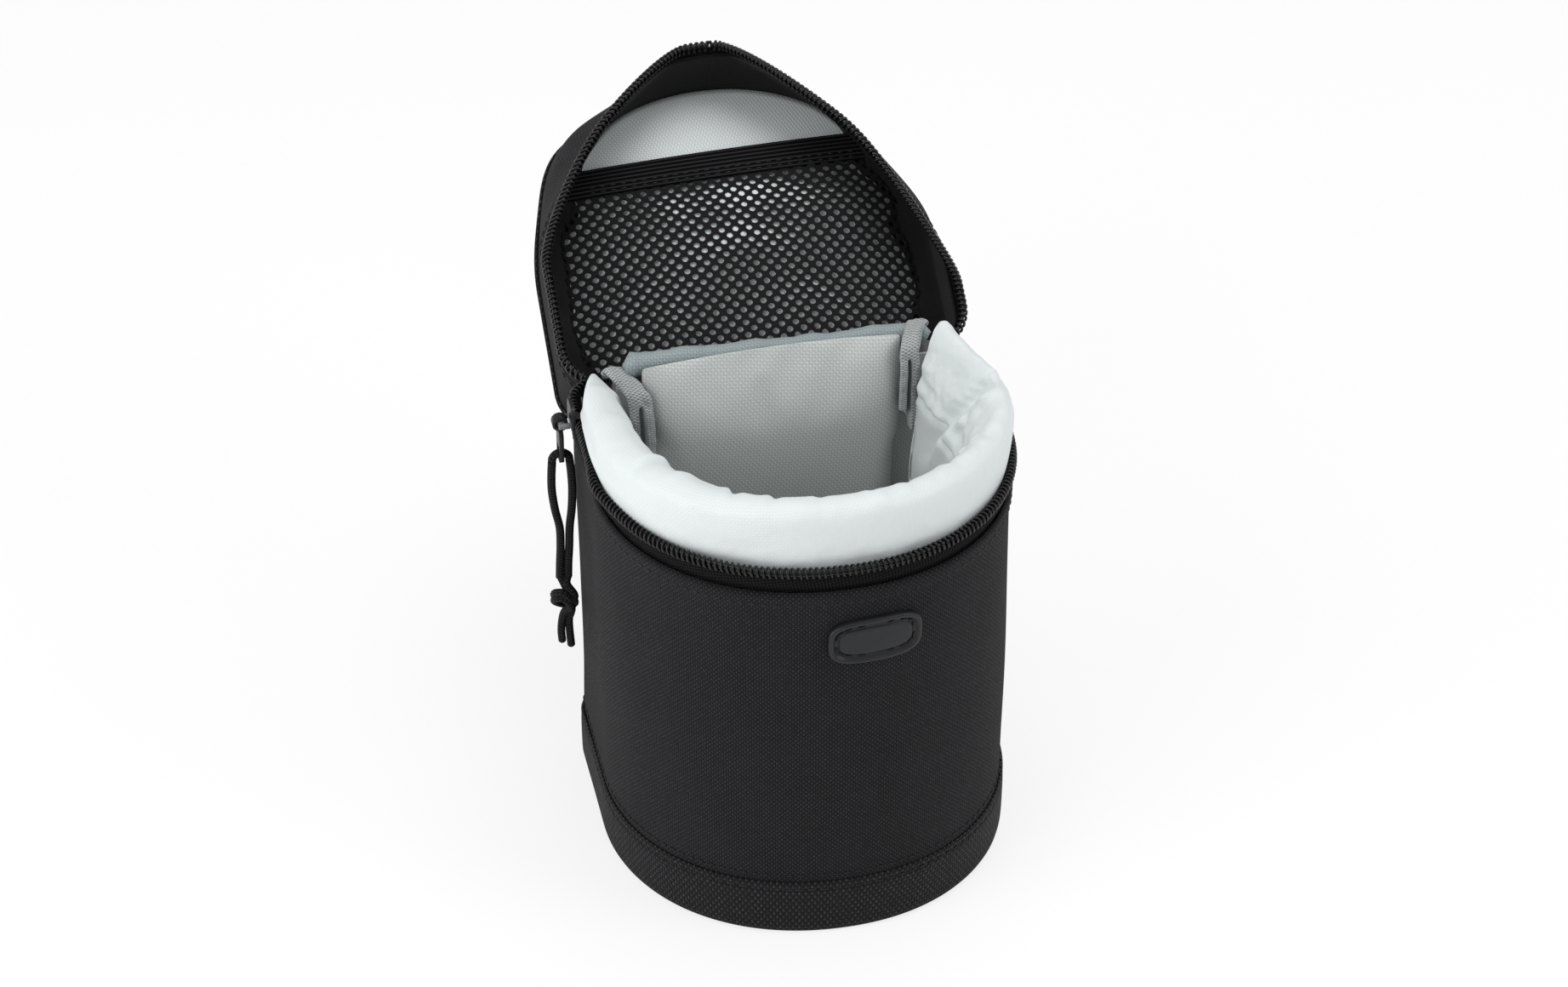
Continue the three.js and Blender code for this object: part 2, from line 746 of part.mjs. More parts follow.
// The turn of the cord through the tab's window, round the tab's lower bar
function cordTurn(pivot, barZ) {
  const points = [];
  for (let i = 0; i <= cordTurnSteps; i++) {
    const angle = (Math.PI * i) / cordTurnSteps;
    const x = pivot.x - cordTurnRadius * Math.cos(angle);
    points.push(new THREE.Vector3(x, pivot.y, barZ + cordTurnRadius * Math.sin(angle)));
  }
  return cordAlong(points, cordTurnSteps);
}

// Each strand hangs from the turn to the knot: [sideways from the pivot, height] by hand
const outerStrand = [
  [-2.8, 121.9], [-3.5, 117], [-3.9, 111], [-3.3, 104],
  [-2.2, 97], [-1.75, 90], [-1.7, 84], [-1.7, 78.3],
];
const innerStrand = [
  [2.8, 121.9], [3.1, 117], [3.3, 111], [3.1, 104],
  [2.4, 97], [1.85, 90], [1.7, 84], [1.7, 78.3],
];

function strand(list, pivot) {
  const points = list.map(([x, z]) => new THREE.Vector3(pivot.x + x, pivot.y, z));
  return cordAlong(points, cordSteps);
}

function knotGeometry(pivot) {
  const middle = knotTop - knotHeight / 2;
  const half = knotHeight / 2;
  const profile = knotRingShares.map((share) => {
    const radius = knotRadius * Math.sqrt(1 - share ** 2);
    return new THREE.Vector2(radius, half * share);
  });
  const ball = new THREE.LatheGeometry(profile, knotSides).rotateX(Math.PI / 2);
  ball.translate(pivot.x, pivot.y, middle);
  const tails = [-1, 1].map((side) => {
    const length = tailLength + half / 2;
    const tail = new THREE.CylinderGeometry(cordRadius, cordRadius, length, cordSides);
    tail.rotateX(Math.PI / 2);
    const drop = middle - half - tailLength + length / 2;
    return tail.translate(pivot.x + side * (cordRadius - fitGap / 2), pivot.y, drop);
  });
  return joinAll([ball, ...tails]);
}

function pullParts(outerPlate) {
  const pivot = pullPivot(outerPlate);
  const tab = tabGeometry(pivot);
  return [
    named("pull_tab", tab.geometry, colours.metal, 0.35, 0.8),
    named("pull_cord_turn", cordTurn(pivot, tab.barZ), colours.cord),
    named("pull_cord_outer", strand(outerStrand, pivot), colours.cord),
    named("pull_cord_inner", strand(innerStrand, pivot), colours.cord),
    named("cord_knot", knotGeometry(pivot), colours.cord),
  ];
}

// Belt loop: a strap sewn on at its head and held at its foot by hook and loop
function beltParts() {
  const half = strapWidth / 2;
  const face = bodyBack + fitGap;
  const anchorLow = strapTop + fitGap;
  const anchorHigh = [half, face + strapThickness, anchorLow + anchorHeight];
  const anchor = boxBetween([-half, face, anchorLow], anchorHigh);
  const loopLow = [-half, face, strapBottom];
  const loopHigh = [half, face + patchThickness, strapBottom + patchHeight];
  const hookY = face + patchThickness + fitGap;
  const hookHigh = [half, hookY + patchThickness, strapBottom + patchHeight];
  return {
    fixed: [
      named("strap_anchor", anchor, colours.band),
      named("loop_patch", boxBetween(loopLow, loopHigh), colours.elastic),
    ],
    moving: [
      named("belt_strap", strapGeometry(hookY + patchThickness + fitGap), colours.band),
      named("hook_patch", boxBetween([-half, hookY, strapBottom], hookHigh), colours.elastic),
    ],
  };
}

function strapGeometry(footY) {
  const face = bodyBack + fitGap;
  const standY = bodyBack + strapStandOff;
  const patchTop = strapBottom + patchHeight;
  const inner = [
    [face, strapTop],
    [face, strapTop - strapThickness],
    [standY, strapTop - strapThickness - strapSlope],
    [standY, patchTop + strapSlope],
    [footY, patchTop],
    [footY, strapBottom],
  ];
  const shoulder = strapThickness / 2;
  const outer = inner.map(([y, z], i) => [y + strapThickness, i === 1 ? z + shoulder : z]).reverse();
  const shape = new THREE.Shape([...inner, ...outer].map(([y, z]) => new THREE.Vector2(y, z)));
  return extrudeShape(shape, strapWidth).applyMatrix4(acrossX).translate(-strapWidth / 2, 0, 0);
}

// Heights of the lid's wall at which its lean is followed
function wallHeights(foot) {
  const heights = [];
  for (let i = 0; i <= wallRows; i++) {
    heights.push(foot + ((sideLiningTopH - foot) * i) / wallRows);
  }
  return heights;
}

function leaningProfile(outer, inner, heights) {
  const rise = heights.map((height) => [outer, height]);
  const fall = heights.map((height) => [inner, height]).reverse();
  return () => [...rise, ...fall];
}

// Lid stations of one half: from the middle of the front to the wall's seam on that side
function halfLid(side) {
  const middle = -90 + side * frontSplitDegrees;
  const end = side < 0 ? -180 : 0;
  const front = frontStations(middle, end, frontSteps / 2);
  return [...front, ...sideStations(side, 0, wallSeamY).slice(1)];
}

function lidHalfParts(side) {
  const word = side < 0 ? "left" : "right";
  const places = halfLid(side);
  const heights = wallHeights(wallFootH);
  const wall = leaningProfile(0, -outerCloth, [...heights, wallHeadH]);
  const liningOuter = -(outerCloth + fitGap);
  const lining = leaningProfile(liningOuter, liningOuter - liningCloth, heights);
  const tape = wallProfile(0, -tapeThickness, upperTapeH, upperTapeH + tapeWidth);
  const coil = coilProfile(-tapeThickness / 2, upperCoilH);
  return [
    named(`lid_side_wall_${word}`, strip(places, wall, lidPoint), colours.lidCloth),
    named(`lid_side_lining_${word}`, strip(places, lining, lidPoint), colours.brushed),
    named(`upper_zip_tape_${word}`, strip(places, tape, lidPoint), colours.tape),
    named(`upper_zip_coil_${word}`, strip(places, coil, lidPoint), colours.coil, 0.5),
  ];
}

// Stations round the rear of the lid, from seam to seam by the back
function lidRearStations() {
  const straight = bodyBack - rearCornerRadius;
  const start = wallSeamY + fitGap;
  return [
    ...sideStations(1, start, straight),
    ...cornerStations(1),
    ...cornerStations(-1).reverse(),
    ...sideStations(-1, straight, start),
  ];
}

function lidFixedParts() {
  const rear = lidRearStations();
  const heights = wallHeights(wallFootH);
  const wall = leaningProfile(0, -outerCloth, [backTopBelowZip, ...heights, wallHeadH]);
  const liningOuter = -(outerCloth + fitGap);
  const rearLining = leaningProfile(liningOuter, liningOuter - liningCloth, heights);
  const foamInset = -(outerCloth + looseGap);
  const liningInset = -(outerCloth + fitGap + liningCloth + looseGap);
  const liningTop = lidLiningH + liningCloth;
  return [
    named("lid_top_panel", panel(lidPoint, 0, wallHeadH + fitGap, lidHeight), colours.lidCloth),
    named("lid_foam", panel(lidPoint, foamInset, lidFoamH, wallHeadH), colours.foam),
    named("lid_lining", panel(lidPoint, liningInset, lidLiningH, liningTop), colours.lining),
    named("lid_rear_wall", strip(rear, wall, lidPoint), colours.lidCloth),
    named("lid_rear_lining", strip(rear, rearLining, lidPoint), colours.brushed),
    named("mesh_pocket", netGeometry(liningInset), colours.net),
    named("pocket_elastic", elasticGeometry(liningInset), colours.elastic),
  ];
}

// Outline of the lid at a height, as flat points
function lidOutline(out, height) {
  return fullWrap.map((place) => {
    const point = lidPoint(place, out, height);
    return new THREE.Vector2(point.x, point.y);
  });
}

// The part of an outline on one side of a line across the lid
function cutAcross(points, y, keepRear) {
  const inside = (p) => (keepRear ? p.y >= y : p.y <= y);
  const kept = [];
  for (const [i, p] of points.entries()) {
    const q = points[(i + 1) % points.length];
    if (inside(p)) kept.push(p);
    if (inside(p) !== inside(q)) {
      const share = (y - p.y) / (q.y - p.y);
      kept.push(new THREE.Vector2(p.x + (q.x - p.x) * share, y));
    }
  }
  return kept;
}

// Net of the pocket: staggered diamond gaps inside a plain border
function netGeometry(out) {
  const mouthY = hingeY - pocketMouth;
  const outline = cutAcross(lidOutline(out, netH), mouthY, true);
  const shape = new THREE.Shape(outline);
  const half = netGapSize / 2;
  const rowStep = netGapPitch / 2;
  const border = netBorder + half;
  const rear = Math.max(...outline.map((p) => p.y)) - border;
  const rows = Math.floor((rear - mouthY - border) / rowStep);
  for (let row = 0; row <= rows; row++) {
    const y = rear - row * rowStep;
    const rowOutline = cutAcross(cutAcross(outline, y - half, true), y + half, false);
    const edges = rowOutline.map((p) => p.x);
    const left = Math.max(Math.min(...edges), -bodyHalfWidth) + border + netSideRoom;
    const right = Math.min(Math.max(...edges), bodyHalfWidth) - border - netSideRoom;
    const offset = (row % 2) * (netGapPitch / 2);
    const first = Math.ceil((left - offset) / netGapPitch);
    const last = Math.floor((right - offset) / netGapPitch);
    for (let column = first; column <= last; column++) {
      const x = column * netGapPitch + offset;
      const gap = new THREE.Path();
      gap.moveTo(x - half, y);
      gap.lineTo(x, y + half);
      gap.lineTo(x + half, y);
      gap.lineTo(x, y - half);
      gap.closePath();
      shape.holes.push(gap);
    }
  }
  return extrudeShape(shape, netThickness).translate(0, 0, zipHeight + netH);
}

function elasticGeometry(out) {
  const mouthY = hingeY - pocketMouth - fitGap;
  const low = netH - (elasticThickness - netThickness) / 2;
  const outline = lidOutline(out, low);
  const band = cutAcross(cutAcross(outline, mouthY, false), mouthY - elasticWidth, true);
  return extrudeShape(new THREE.Shape(band), elasticThickness).translate(0, 0, zipHeight + low);
}

// Cloth fold of the hinge: it turns back on itself between the back panel and the open lid
function foldParts() {
  const half = THREE.MathUtils.degToRad(180 - openAngle) / 2;
  const reach = foldRadius / Math.tan(half);
  const centreY = hingeY + foldRadius;
  const centreZ = zipHeight - reach;
  const arc = (radius, reverse) => {
    const list = [];
    for (let i = 0; i <= foldSteps; i++) {
      const share = (reverse ? foldSteps - i : i) / foldSteps;
      const angle = Math.PI - THREE.MathUtils.degToRad(openAngle) * share;
      const y = centreY + radius * Math.cos(angle);
      list.push(new THREE.Vector2(y, centreZ + radius * Math.sin(angle)));
    }
    return list;
  };
  const halfCloth = outerCloth / 2;
  const outline = [...arc(foldRadius + halfCloth, false), ...arc(foldRadius - halfCloth, true)];
  const shape = new THREE.Shape(outline);
  const halfWidth = bodyHalfWidth - rearCornerRadius - fitGap;
  const fold = extrudeShape(shape, halfWidth * 2).applyMatrix4(acrossX).translate(-halfWidth, 0, 0);
  return [named("hinge_fold", fold, colours.lidCloth)];
}

// Assembly: fixed pieces, the slider with its pull, the belt strap, and the lid on its hinge
const pouch = new THREE.Group();
pouch.add(...baseParts(), ...wallParts(), ...collarParts(), ...backParts());
pouch.add(...bindingParts(), ...lowerZipParts(), ...badgeParts(), ...foldParts());

const slider = sliderParts();
const sliderGroup = new THREE.Group();
sliderGroup.add(...slider.meshes, ...pullParts(slider.outerPlate));
pouch.add(sliderGroup);

const belt = beltParts();
const beltGroup = new THREE.Group();
beltGroup.add(...belt.moving);
pouch.add(...belt.fixed, beltGroup);

const lidHinge = new THREE.Group();
lidHinge.position.set(0, hingeY, zipHeight);
lidHinge.rotation.x = THREE.MathUtils.degToRad(-openAngle);
const lid = new THREE.Group();
lid.position.set(0, -hingeY, -zipHeight);
lid.add(...lidFixedParts(), ...lidHalfParts(-1), ...lidHalfParts(1));
lidHinge.add(lid);
pouch.add(lidHinge);

export default pouch;
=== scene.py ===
# Padded lens pouch, dressed with its cloths, padding, seams, zip, net and cord
import math

import bmesh
import bpy
import numpy as np
from mathutils import Matrix, Vector, noise


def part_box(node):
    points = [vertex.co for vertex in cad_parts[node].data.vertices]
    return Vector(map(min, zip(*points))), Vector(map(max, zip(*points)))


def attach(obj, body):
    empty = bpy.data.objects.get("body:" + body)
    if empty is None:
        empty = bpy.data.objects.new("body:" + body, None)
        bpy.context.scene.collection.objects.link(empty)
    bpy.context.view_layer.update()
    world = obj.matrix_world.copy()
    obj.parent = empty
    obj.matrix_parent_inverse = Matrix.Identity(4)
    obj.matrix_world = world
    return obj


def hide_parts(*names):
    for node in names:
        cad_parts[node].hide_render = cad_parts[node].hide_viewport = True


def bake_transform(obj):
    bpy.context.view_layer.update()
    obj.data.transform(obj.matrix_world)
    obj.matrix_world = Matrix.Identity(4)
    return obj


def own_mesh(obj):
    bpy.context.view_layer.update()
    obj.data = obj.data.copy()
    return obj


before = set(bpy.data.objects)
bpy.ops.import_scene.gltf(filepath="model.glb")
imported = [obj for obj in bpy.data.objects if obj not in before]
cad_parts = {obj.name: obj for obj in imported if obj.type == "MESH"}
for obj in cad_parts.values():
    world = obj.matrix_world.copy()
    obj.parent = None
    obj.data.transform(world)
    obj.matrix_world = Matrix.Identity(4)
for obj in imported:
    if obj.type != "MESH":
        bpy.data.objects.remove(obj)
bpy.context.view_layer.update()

bl_info = {
    "name": "Lens Pouch",
    "version": (1, 0, 0),
    "blender": (4, 5, 0),
    "location": "View3D > Sidebar > Pouch",
    "description": "Builds the cloths, padding, zip, net and cord of a padded lens pouch",
    "category": "Add Mesh",
}

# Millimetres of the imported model: the outline, the heights and the open lid
MM = 0.001
HALF_WIDTH = 62.0
FRONT = 63.4
BACK = 48.0
CORNER = 12.0
ROUNDNESS = 2.1
FLARE = 1.5
ZIP = 138.4
LID = 35.5
HINGE_Y = 47.4
OPEN = math.radians(-150)
FLOOR = 14.9
SHELL_FOOT = 17
SHELL_TOP = 129.1
PANEL_TOP = 135.1
TAPE_FOOT = 126.5
TAPE_TOP = 135.6
COIL_Z = 136.3
PIVOT = Vector((-68.8, 28.0, 136.2))
HALF_BACK = HALF_WIDTH - CORNER

# How each half of the lid's wall leans in: where it starts, the way to where it is full, the travel
LEAN_TURN = math.radians(32.7)
LEANS = {
    "left": (
        Vector((-0.69 * HALF_WIDTH, -0.528 * FRONT, 0.5 * LID)),
        Vector((-0.099 * HALF_WIDTH, -0.076 * FRONT, -0.121 * LID)),
        10 * Vector((-math.cos(LEAN_TURN), -math.sin(LEAN_TURN), 0)),
    ),
    "right": (
        Vector((0.681 * HALF_WIDTH, -0.453 * FRONT, 0.5 * LID)),
        Vector((0.093 * HALF_WIDTH, -0.061 * FRONT, -0.176 * LID)),
        15 * Vector((math.cos(LEAN_TURN), -math.sin(LEAN_TURN), 0)),
    ),
}


def linear(code):
    """Linear colour of an sRGB hex value."""
    values = [int(code[i:i + 2], 16) / 255 for i in (1, 3, 5)]
    return [v / 12.92 if v <= 0.04045 else ((v + 0.055) / 1.055) ** 2.4 for v in values]


def length(name, text, value):
    return bpy.props.FloatProperty(name=name, description=text, default=value, unit="LENGTH")


def colour(name, text, code):
    return bpy.props.FloatVectorProperty(name=name, description=text, subtype="COLOR", default=linear(code))


class PouchSizes(bpy.types.PropertyGroup):
    shell_thread: length("Shell thread", "Spacing of the shell cloth's threads, as drawn", 0.0008)
    band_thread: length("Band thread", "Spacing of the foot band's thick threads", 0.00095)
    twill_rib: length("Twill rib", "Spacing of the diagonal ribs of the pale lining, as drawn", 0.00115)
    stitch_length: length("Stitch", "Length of one stitch on the outside", 0.0026)
    coil_pitch: length("Coil pitch", "Distance from one zip tooth to the next", 0.00175)
    net_pitch: length("Net pitch", "Distance between neighbouring holes of the net", 0.0031)
    cord_width: length("Cord", "Diameter of the pull cord", 0.0026)
    puff: bpy.props.FloatProperty(
        name="Padding pressure", description="Pressure that fills the collar and the back pad", default=4.0)


class PouchColours(bpy.types.PropertyGroup):
    shell: colour("Shell", "Charcoal polyester of the outside", "#18181a")
    band: colour("Band", "Black ballistic nylon of the foot", "#151517")
    lining: colour("Lining", "Pale cool grey of the collar and the walls", "#d9dfdf")
    pad: colour("Pad", "Warm grey of the back pad and the compartment's floor", "#c6cac8")
    hem: colour("Hem", "Blue grey of the hem on top of the back", "#8f9b9d")
    binding: colour("Binding", "Grey of the seam tapes", "#b2b6b6")
    black: colour("Black", "Black of the zip, the net, the elastic and the cord", "#111112")


# Steps of the plan outline: round the front, along the side and round the rear corner
FRONT_STEPS, SIDE_STEPS, CORNER_STEPS = 120, 6, 12


# Plan outline by arc length from the middle of the front, right half: distances, places, normals
def outline_table():
    rows = []
    for i in range(FRONT_STEPS + 1):
        angle = math.radians(90 * i / FRONT_STEPS)
        x = HALF_WIDTH * math.sin(angle) ** (2 / ROUNDNESS)
        y = -FRONT * max(math.cos(angle), 0) ** (2 / ROUNDNESS)
        nx = (x / HALF_WIDTH) ** (ROUNDNESS - 1) / HALF_WIDTH
        ny = -((-y / FRONT) ** (ROUNDNESS - 1)) / FRONT
        size = math.hypot(nx, ny)
        rows.append((x, y, nx / size, ny / size))
    for i in range(1, SIDE_STEPS + 1):
        rows.append((HALF_WIDTH, (BACK - CORNER) * i / SIDE_STEPS, 1, 0))
    for i in range(1, CORNER_STEPS + 1):
        angle = math.radians(90 * i / CORNER_STEPS)
        nx, ny = math.cos(angle), math.sin(angle)
        rows.append((HALF_WIDTH - CORNER + CORNER * nx, BACK - CORNER + CORNER * ny, nx, ny))
    rows.append((0, BACK, 0, 1))
    table = np.array(rows)
    steps = np.hypot(np.diff(table[:, 0]), np.diff(table[:, 1]))
    return np.concatenate([[0], np.cumsum(steps)]), table


DISTANCES, TABLE = outline_table()
FRONT_ARC = float(DISTANCES[FRONT_STEPS])
SIDE_ARC = float(DISTANCES[FRONT_STEPS + SIDE_STEPS])
CORNER_ARC = float(DISTANCES[FRONT_STEPS + SIDE_STEPS + CORNER_STEPS])
HALF_ARC = float(DISTANCES[-1])
# The zip ends on the rear corner
ZIP_END = SIDE_ARC + 12.6


def between(low, high, share):
    return low + (high - low) * share


def smooth(value, low=0.0, high=1.0):
    share = min(1, max(0, (value - low) / (high - low)))
    return share * share * (3 - 2 * share)


def swell(value, middle, width):
    """A smooth bump, 1 at its middle."""
    return math.exp(-((value - middle) / width) ** 2)


def crease(off):
    """A ridge with a shallower groove beside it, by the way from the ridge in its own widths."""
    return swell(off, 0, 1) - 0.6 * swell(off, -1.5, 1)


def uneven(x, y, seed):
    """Smooth unevenness, from about -1 to 1."""
    return noise.noise(Vector((x, y, seed)))


def around(distance):
    """Place and outward direction on the outline, at a distance from the middle of the front."""
    x, y, nx, ny = (float(np.interp(abs(distance), DISTANCES, TABLE[:, i])) for i in range(4))
    side = -1 if distance < 0 else 1
    return side * x, y, side * nx, ny


def slack(distance):
    """How far the body's zip stands out: a little ahead of the slider, and in at the right rear."""
    return 1.2 * swell(distance, -92, 9) - 1.6 * smooth(distance, 112, 130)


def body_at(distance, out, z):
    x, y, nx, ny = around(distance)
    reach = out + FLARE * min(1, z / ZIP)
    return Vector((x + nx * reach, min(y + ny * reach, BACK + out), z))


def lean_at(x, y, height):
    """The way a wall half leans in while the lid is open, solved so that it closes round."""
    start, ramp, move = LEANS["left" if x < 0 else "right"]
    size = ramp.length_squared
    ahead = (Vector((x, y, height)) - start).dot(ramp) / size
    back = move.dot(ramp) / size
    low, high = 0.0, 1.0
    for _ in range(14):
        share = (low + high) / 2
        if smooth(ahead - back * share) > share:
            low = share
        else:
            high = share
    return -low * smooth(abs(x), 0, 6) * move


def opened(point):
    """Turns a point of the closed lid to where it stands open."""
    y, z = point[1] - HINGE_Y, point[2] - ZIP
    cos, sin = math.cos(OPEN), math.sin(OPEN)
    return Vector((point[0], HINGE_Y + cos * y - sin * z, ZIP + sin * y + cos * z))


def shoulder(distance, height):
    """How far the lid's top edge is pushed out beyond its rim, left of the front."""
    return 5.4 * swell(distance, -50, 17) * smooth(height, 6, 26)


def lid_at(distance, out, height):
    x, y, nx, ny = around(distance)
    flare = FLARE * (1 - height / LID)
    lean = lean_at(x + nx * (flare - 0.5), y + ny * (flare - 0.5), height)
    y_out = min(y + ny * (out + flare) + lean.y, BACK + out)
    return opened((x + nx * (out + flare) + lean.x, y_out, ZIP + height))


def path_of(points):
    """The length of a line of plane points, and a function from a distance along it to the place there."""
    lengths = np.cumsum([0] + [math.dist(a, b) for a, b in zip(points, points[1:])])
    return float(lengths[-1]), lambda at: [float(np.interp(at, lengths, way)) for way in zip(*points)]


# Mesh making
def set_all(target, **settings):
    for key, value in settings.items():
        setattr(target, key, value)
    return target


def placed(name, data):
    """A new object of the scene, made of a mesh, a curve, a camera or a lamp."""
    obj = bpy.data.objects.new(name, data)
    bpy.context.scene.collection.objects.link(obj)
    return obj


def new_object(name, bm, scale=MM):
    bmesh.ops.scale(bm, vec=(scale, scale, scale), verts=bm.verts)
    mesh = bpy.data.meshes.new(name)
    bm.to_mesh(mesh)
    bm.free()
    return placed(name, mesh)


def face_away(bm, core):
    """Turns every face round if they look at the core."""
    bm.normal_update()
    middle = Vector(core)
    if sum((f.calc_center_median() - middle).dot(f.normal) * f.calc_area() for f in bm.faces) < 0:
        bmesh.ops.reverse_faces(bm, faces=bm.faces)


def grid(columns, rows, place):
    """A grid whose corners, from 0 to 1 each way, go to place(u, v): a point and its cloth place."""
    bm = bmesh.new()
    layer = bm.loops.layers.uv.new("cloth")
    bmesh.ops.create_grid(bm, x_segments=columns, y_segments=rows, size=0.5)
    cloth = []
    for vertex in bm.verts:
        vertex.co, flat = place(vertex.co.x + 0.5, vertex.co.y + 0.5)
        cloth.append((flat[0] * MM, flat[1] * MM))
    for face in bm.faces:
        for loop in face.loops:
            loop[layer].uv = cloth[loop.vert.index]
    bmesh.ops.remove_doubles(bm, verts=bm.verts, dist=0.005)
    return bm


def sheet(name, columns, rows, place, core=(0, 0, 70), thick=0, offset=-1):
    """A grid as an object that faces away from its core, with a cloth's thickness in millimetres."""
    bm = grid(columns, rows, place)
    face_away(bm, core)
    obj = new_object(name, bm)
    if thick:
        thicken(obj, thick, offset)
    return obj


def modifier(obj, kind, **settings):
    return set_all(obj.modifiers.new(kind.title(), kind), **settings)


def thicken(obj, thickness, offset=-1):
    modifier(obj, "SOLIDIFY", thickness=thickness * MM, offset=offset)


def soften(obj):
    modifier(obj, "SUBSURF", levels=1, render_levels=1)


def evaluated(obj):
    """A mesh of the object as its modifiers or its curve make it."""
    graph = bpy.context.evaluated_depsgraph_get()
    graph.update()
    return bpy.data.meshes.new_from_object(obj.evaluated_get(graph), depsgraph=graph)


def applied(obj):
    """Fixes an object's modifiers into its mesh."""
    mesh = evaluated(obj)
    obj.modifiers.clear()
    obj.data = mesh


def cut_size(obj):
    """Width, length and area of the flat cloth, from the places that its grid was given."""
    spots = obj.data.uv_layers[0].data
    places = np.array([spot.uv for spot in spots])
    width, length = (float(v) for v in places.max(axis=0) - places.min(axis=0))
    area = 0
    for face in obj.data.polygons:
        ring = [spots[i].uv for i in face.loop_indices]
        area += abs(sum(a.cross(b) for a, b in zip(ring, ring[1:] + ring[:1]))) / 2
    return width, length, min(area, width * length)


def finish(obj, look, body=None, blend=None, nodes=(), held=None, cut=None):
    """Gives a piece its material and its body, or, for a piece that bends between two, only bakes its place
    into its mesh; and hides the nodes it stands for.
    """
    obj.data.materials.clear()
    obj.data.materials.append(finish_of(look))
    obj.data.shade_smooth()
    if blend:
        a, b, start, end = blend
        tuple(start)
        tuple(end)
        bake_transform(obj)
    else:
        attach(obj, body)
    if nodes:
        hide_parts(*nodes)
    if held:
        width, length, area = cut_size(obj)
        cut or area
    return obj


def lean_blend(side):
    start, ramp, _ = LEANS[side]
    lift = Vector((0, 0, ZIP))
    first, last = opened(start + lift), opened(start + ramp + lift)
    return ("lid", "lid_wall_" + side, first * MM, last * MM)


def tube(name, points, radius, sides, columns=None, ends=True):
    """A round tube along points, with rounded ends, as a closed mesh."""
    line = resample(points, columns or len(points) * 3)
    frames = frames_along(line)
    total = sum((b - a).length for a, b in zip(line, line[1:]))
    count = len(line) - 1
    # Rings of each rounded end, and how wide they are
    cap_shares = (0, 0.75, 1) if ends else (1,)
    rings = len(cap_shares) - 1
    rows = count + 2 * rings

    def place(u, v):
        row = round(v * rows)
        step = min(count, max(0, row - rings))
        inner = cap_shares[min(rings, row, rows - row)]
        at, (side, up) = line[step], frames[step]
        if inner < 1:
            along = line[0] - line[1] if step == 0 else line[-1] - line[-2]
            at = at + along.normalized() * radius * math.sqrt(1 - inner * inner) / 2
        angle = 2 * math.pi * u
        point = at + (side * math.cos(angle) + up * math.sin(angle)) * radius * inner
        return point, (radius * angle, total * v)

    bm = grid(sides, rows, place)
    bmesh.ops.recalc_face_normals(bm, faces=bm.faces)
    return new_object(name, bm)


def resample(points, count):
    """Evenly spaced points on a smooth curve through the given ones."""
    points = [Vector(p) for p in points]
    spans_each = 12
    dense = []
    padded = [points[0] * 2 - points[1], *points, points[-1] * 2 - points[-2]]
    for a, b, c, d in zip(padded, padded[1:], padded[2:], padded[3:]):
        for t in (i / spans_each for i in range(spans_each)):
            dense.append(0.5 * (2 * b + (c - a) * t + (2 * a - 5 * b + 4 * c - d) * t * t
                                + (3 * b - 3 * c + d - a) * t ** 3))
    dense.append(points[-1])
    spans = np.cumsum([0] + [(b - a).length for a, b in zip(dense, dense[1:])])
    table = np.array(dense)
    wanted = np.linspace(0, spans[-1], count)
    return [Vector([np.interp(at, spans, table[:, i]) for i in range(3)]) for at in wanted]


def frames_along(line):
    """Two directions across the line at each point, carried along it without twist."""
    frames = []
    side = None
    for i in range(len(line)):
        along = (line[min(i + 1, len(line) - 1)] - line[max(i - 1, 0)]).normalized()
        side = side or along.orthogonal()
        side = (side - along * side.dot(along)).normalized()
        frames.append((side, along.cross(side)))
    return frames


def stitches(name, line_at, first, last, lift=0.15, gap=0.9):
    """A row of stitches: line_at(distance, out) gives points along a seam, in millimetres."""
    length = bpy.context.scene.pouch_sizes.stitch_length / MM
    half_width, half_height = 0.32, 0.28
    bm = bmesh.new()
    count = max(1, int(abs(last - first) / (length + gap)))
    half = math.copysign(0.5, last - first)
    for i in range(count):
        middle = between(first, last, (i + 0.5) / count)
        at = line_at(middle, lift)
        along = (line_at(middle + half, lift) - line_at(middle - half, lift)).normalized()
        out = (line_at(middle, lift + 1) - at).normalized()
        turn = Matrix((along, along.cross(out), out)).transposed().to_4x4()
        size = Matrix.Diagonal((length / 2, half_width, half_height, 1))
        bmesh.ops.create_icosphere(
            bm, subdivisions=1, radius=1, matrix=Matrix.Translation(at) @ turn @ size)
    return new_object(name, bm)


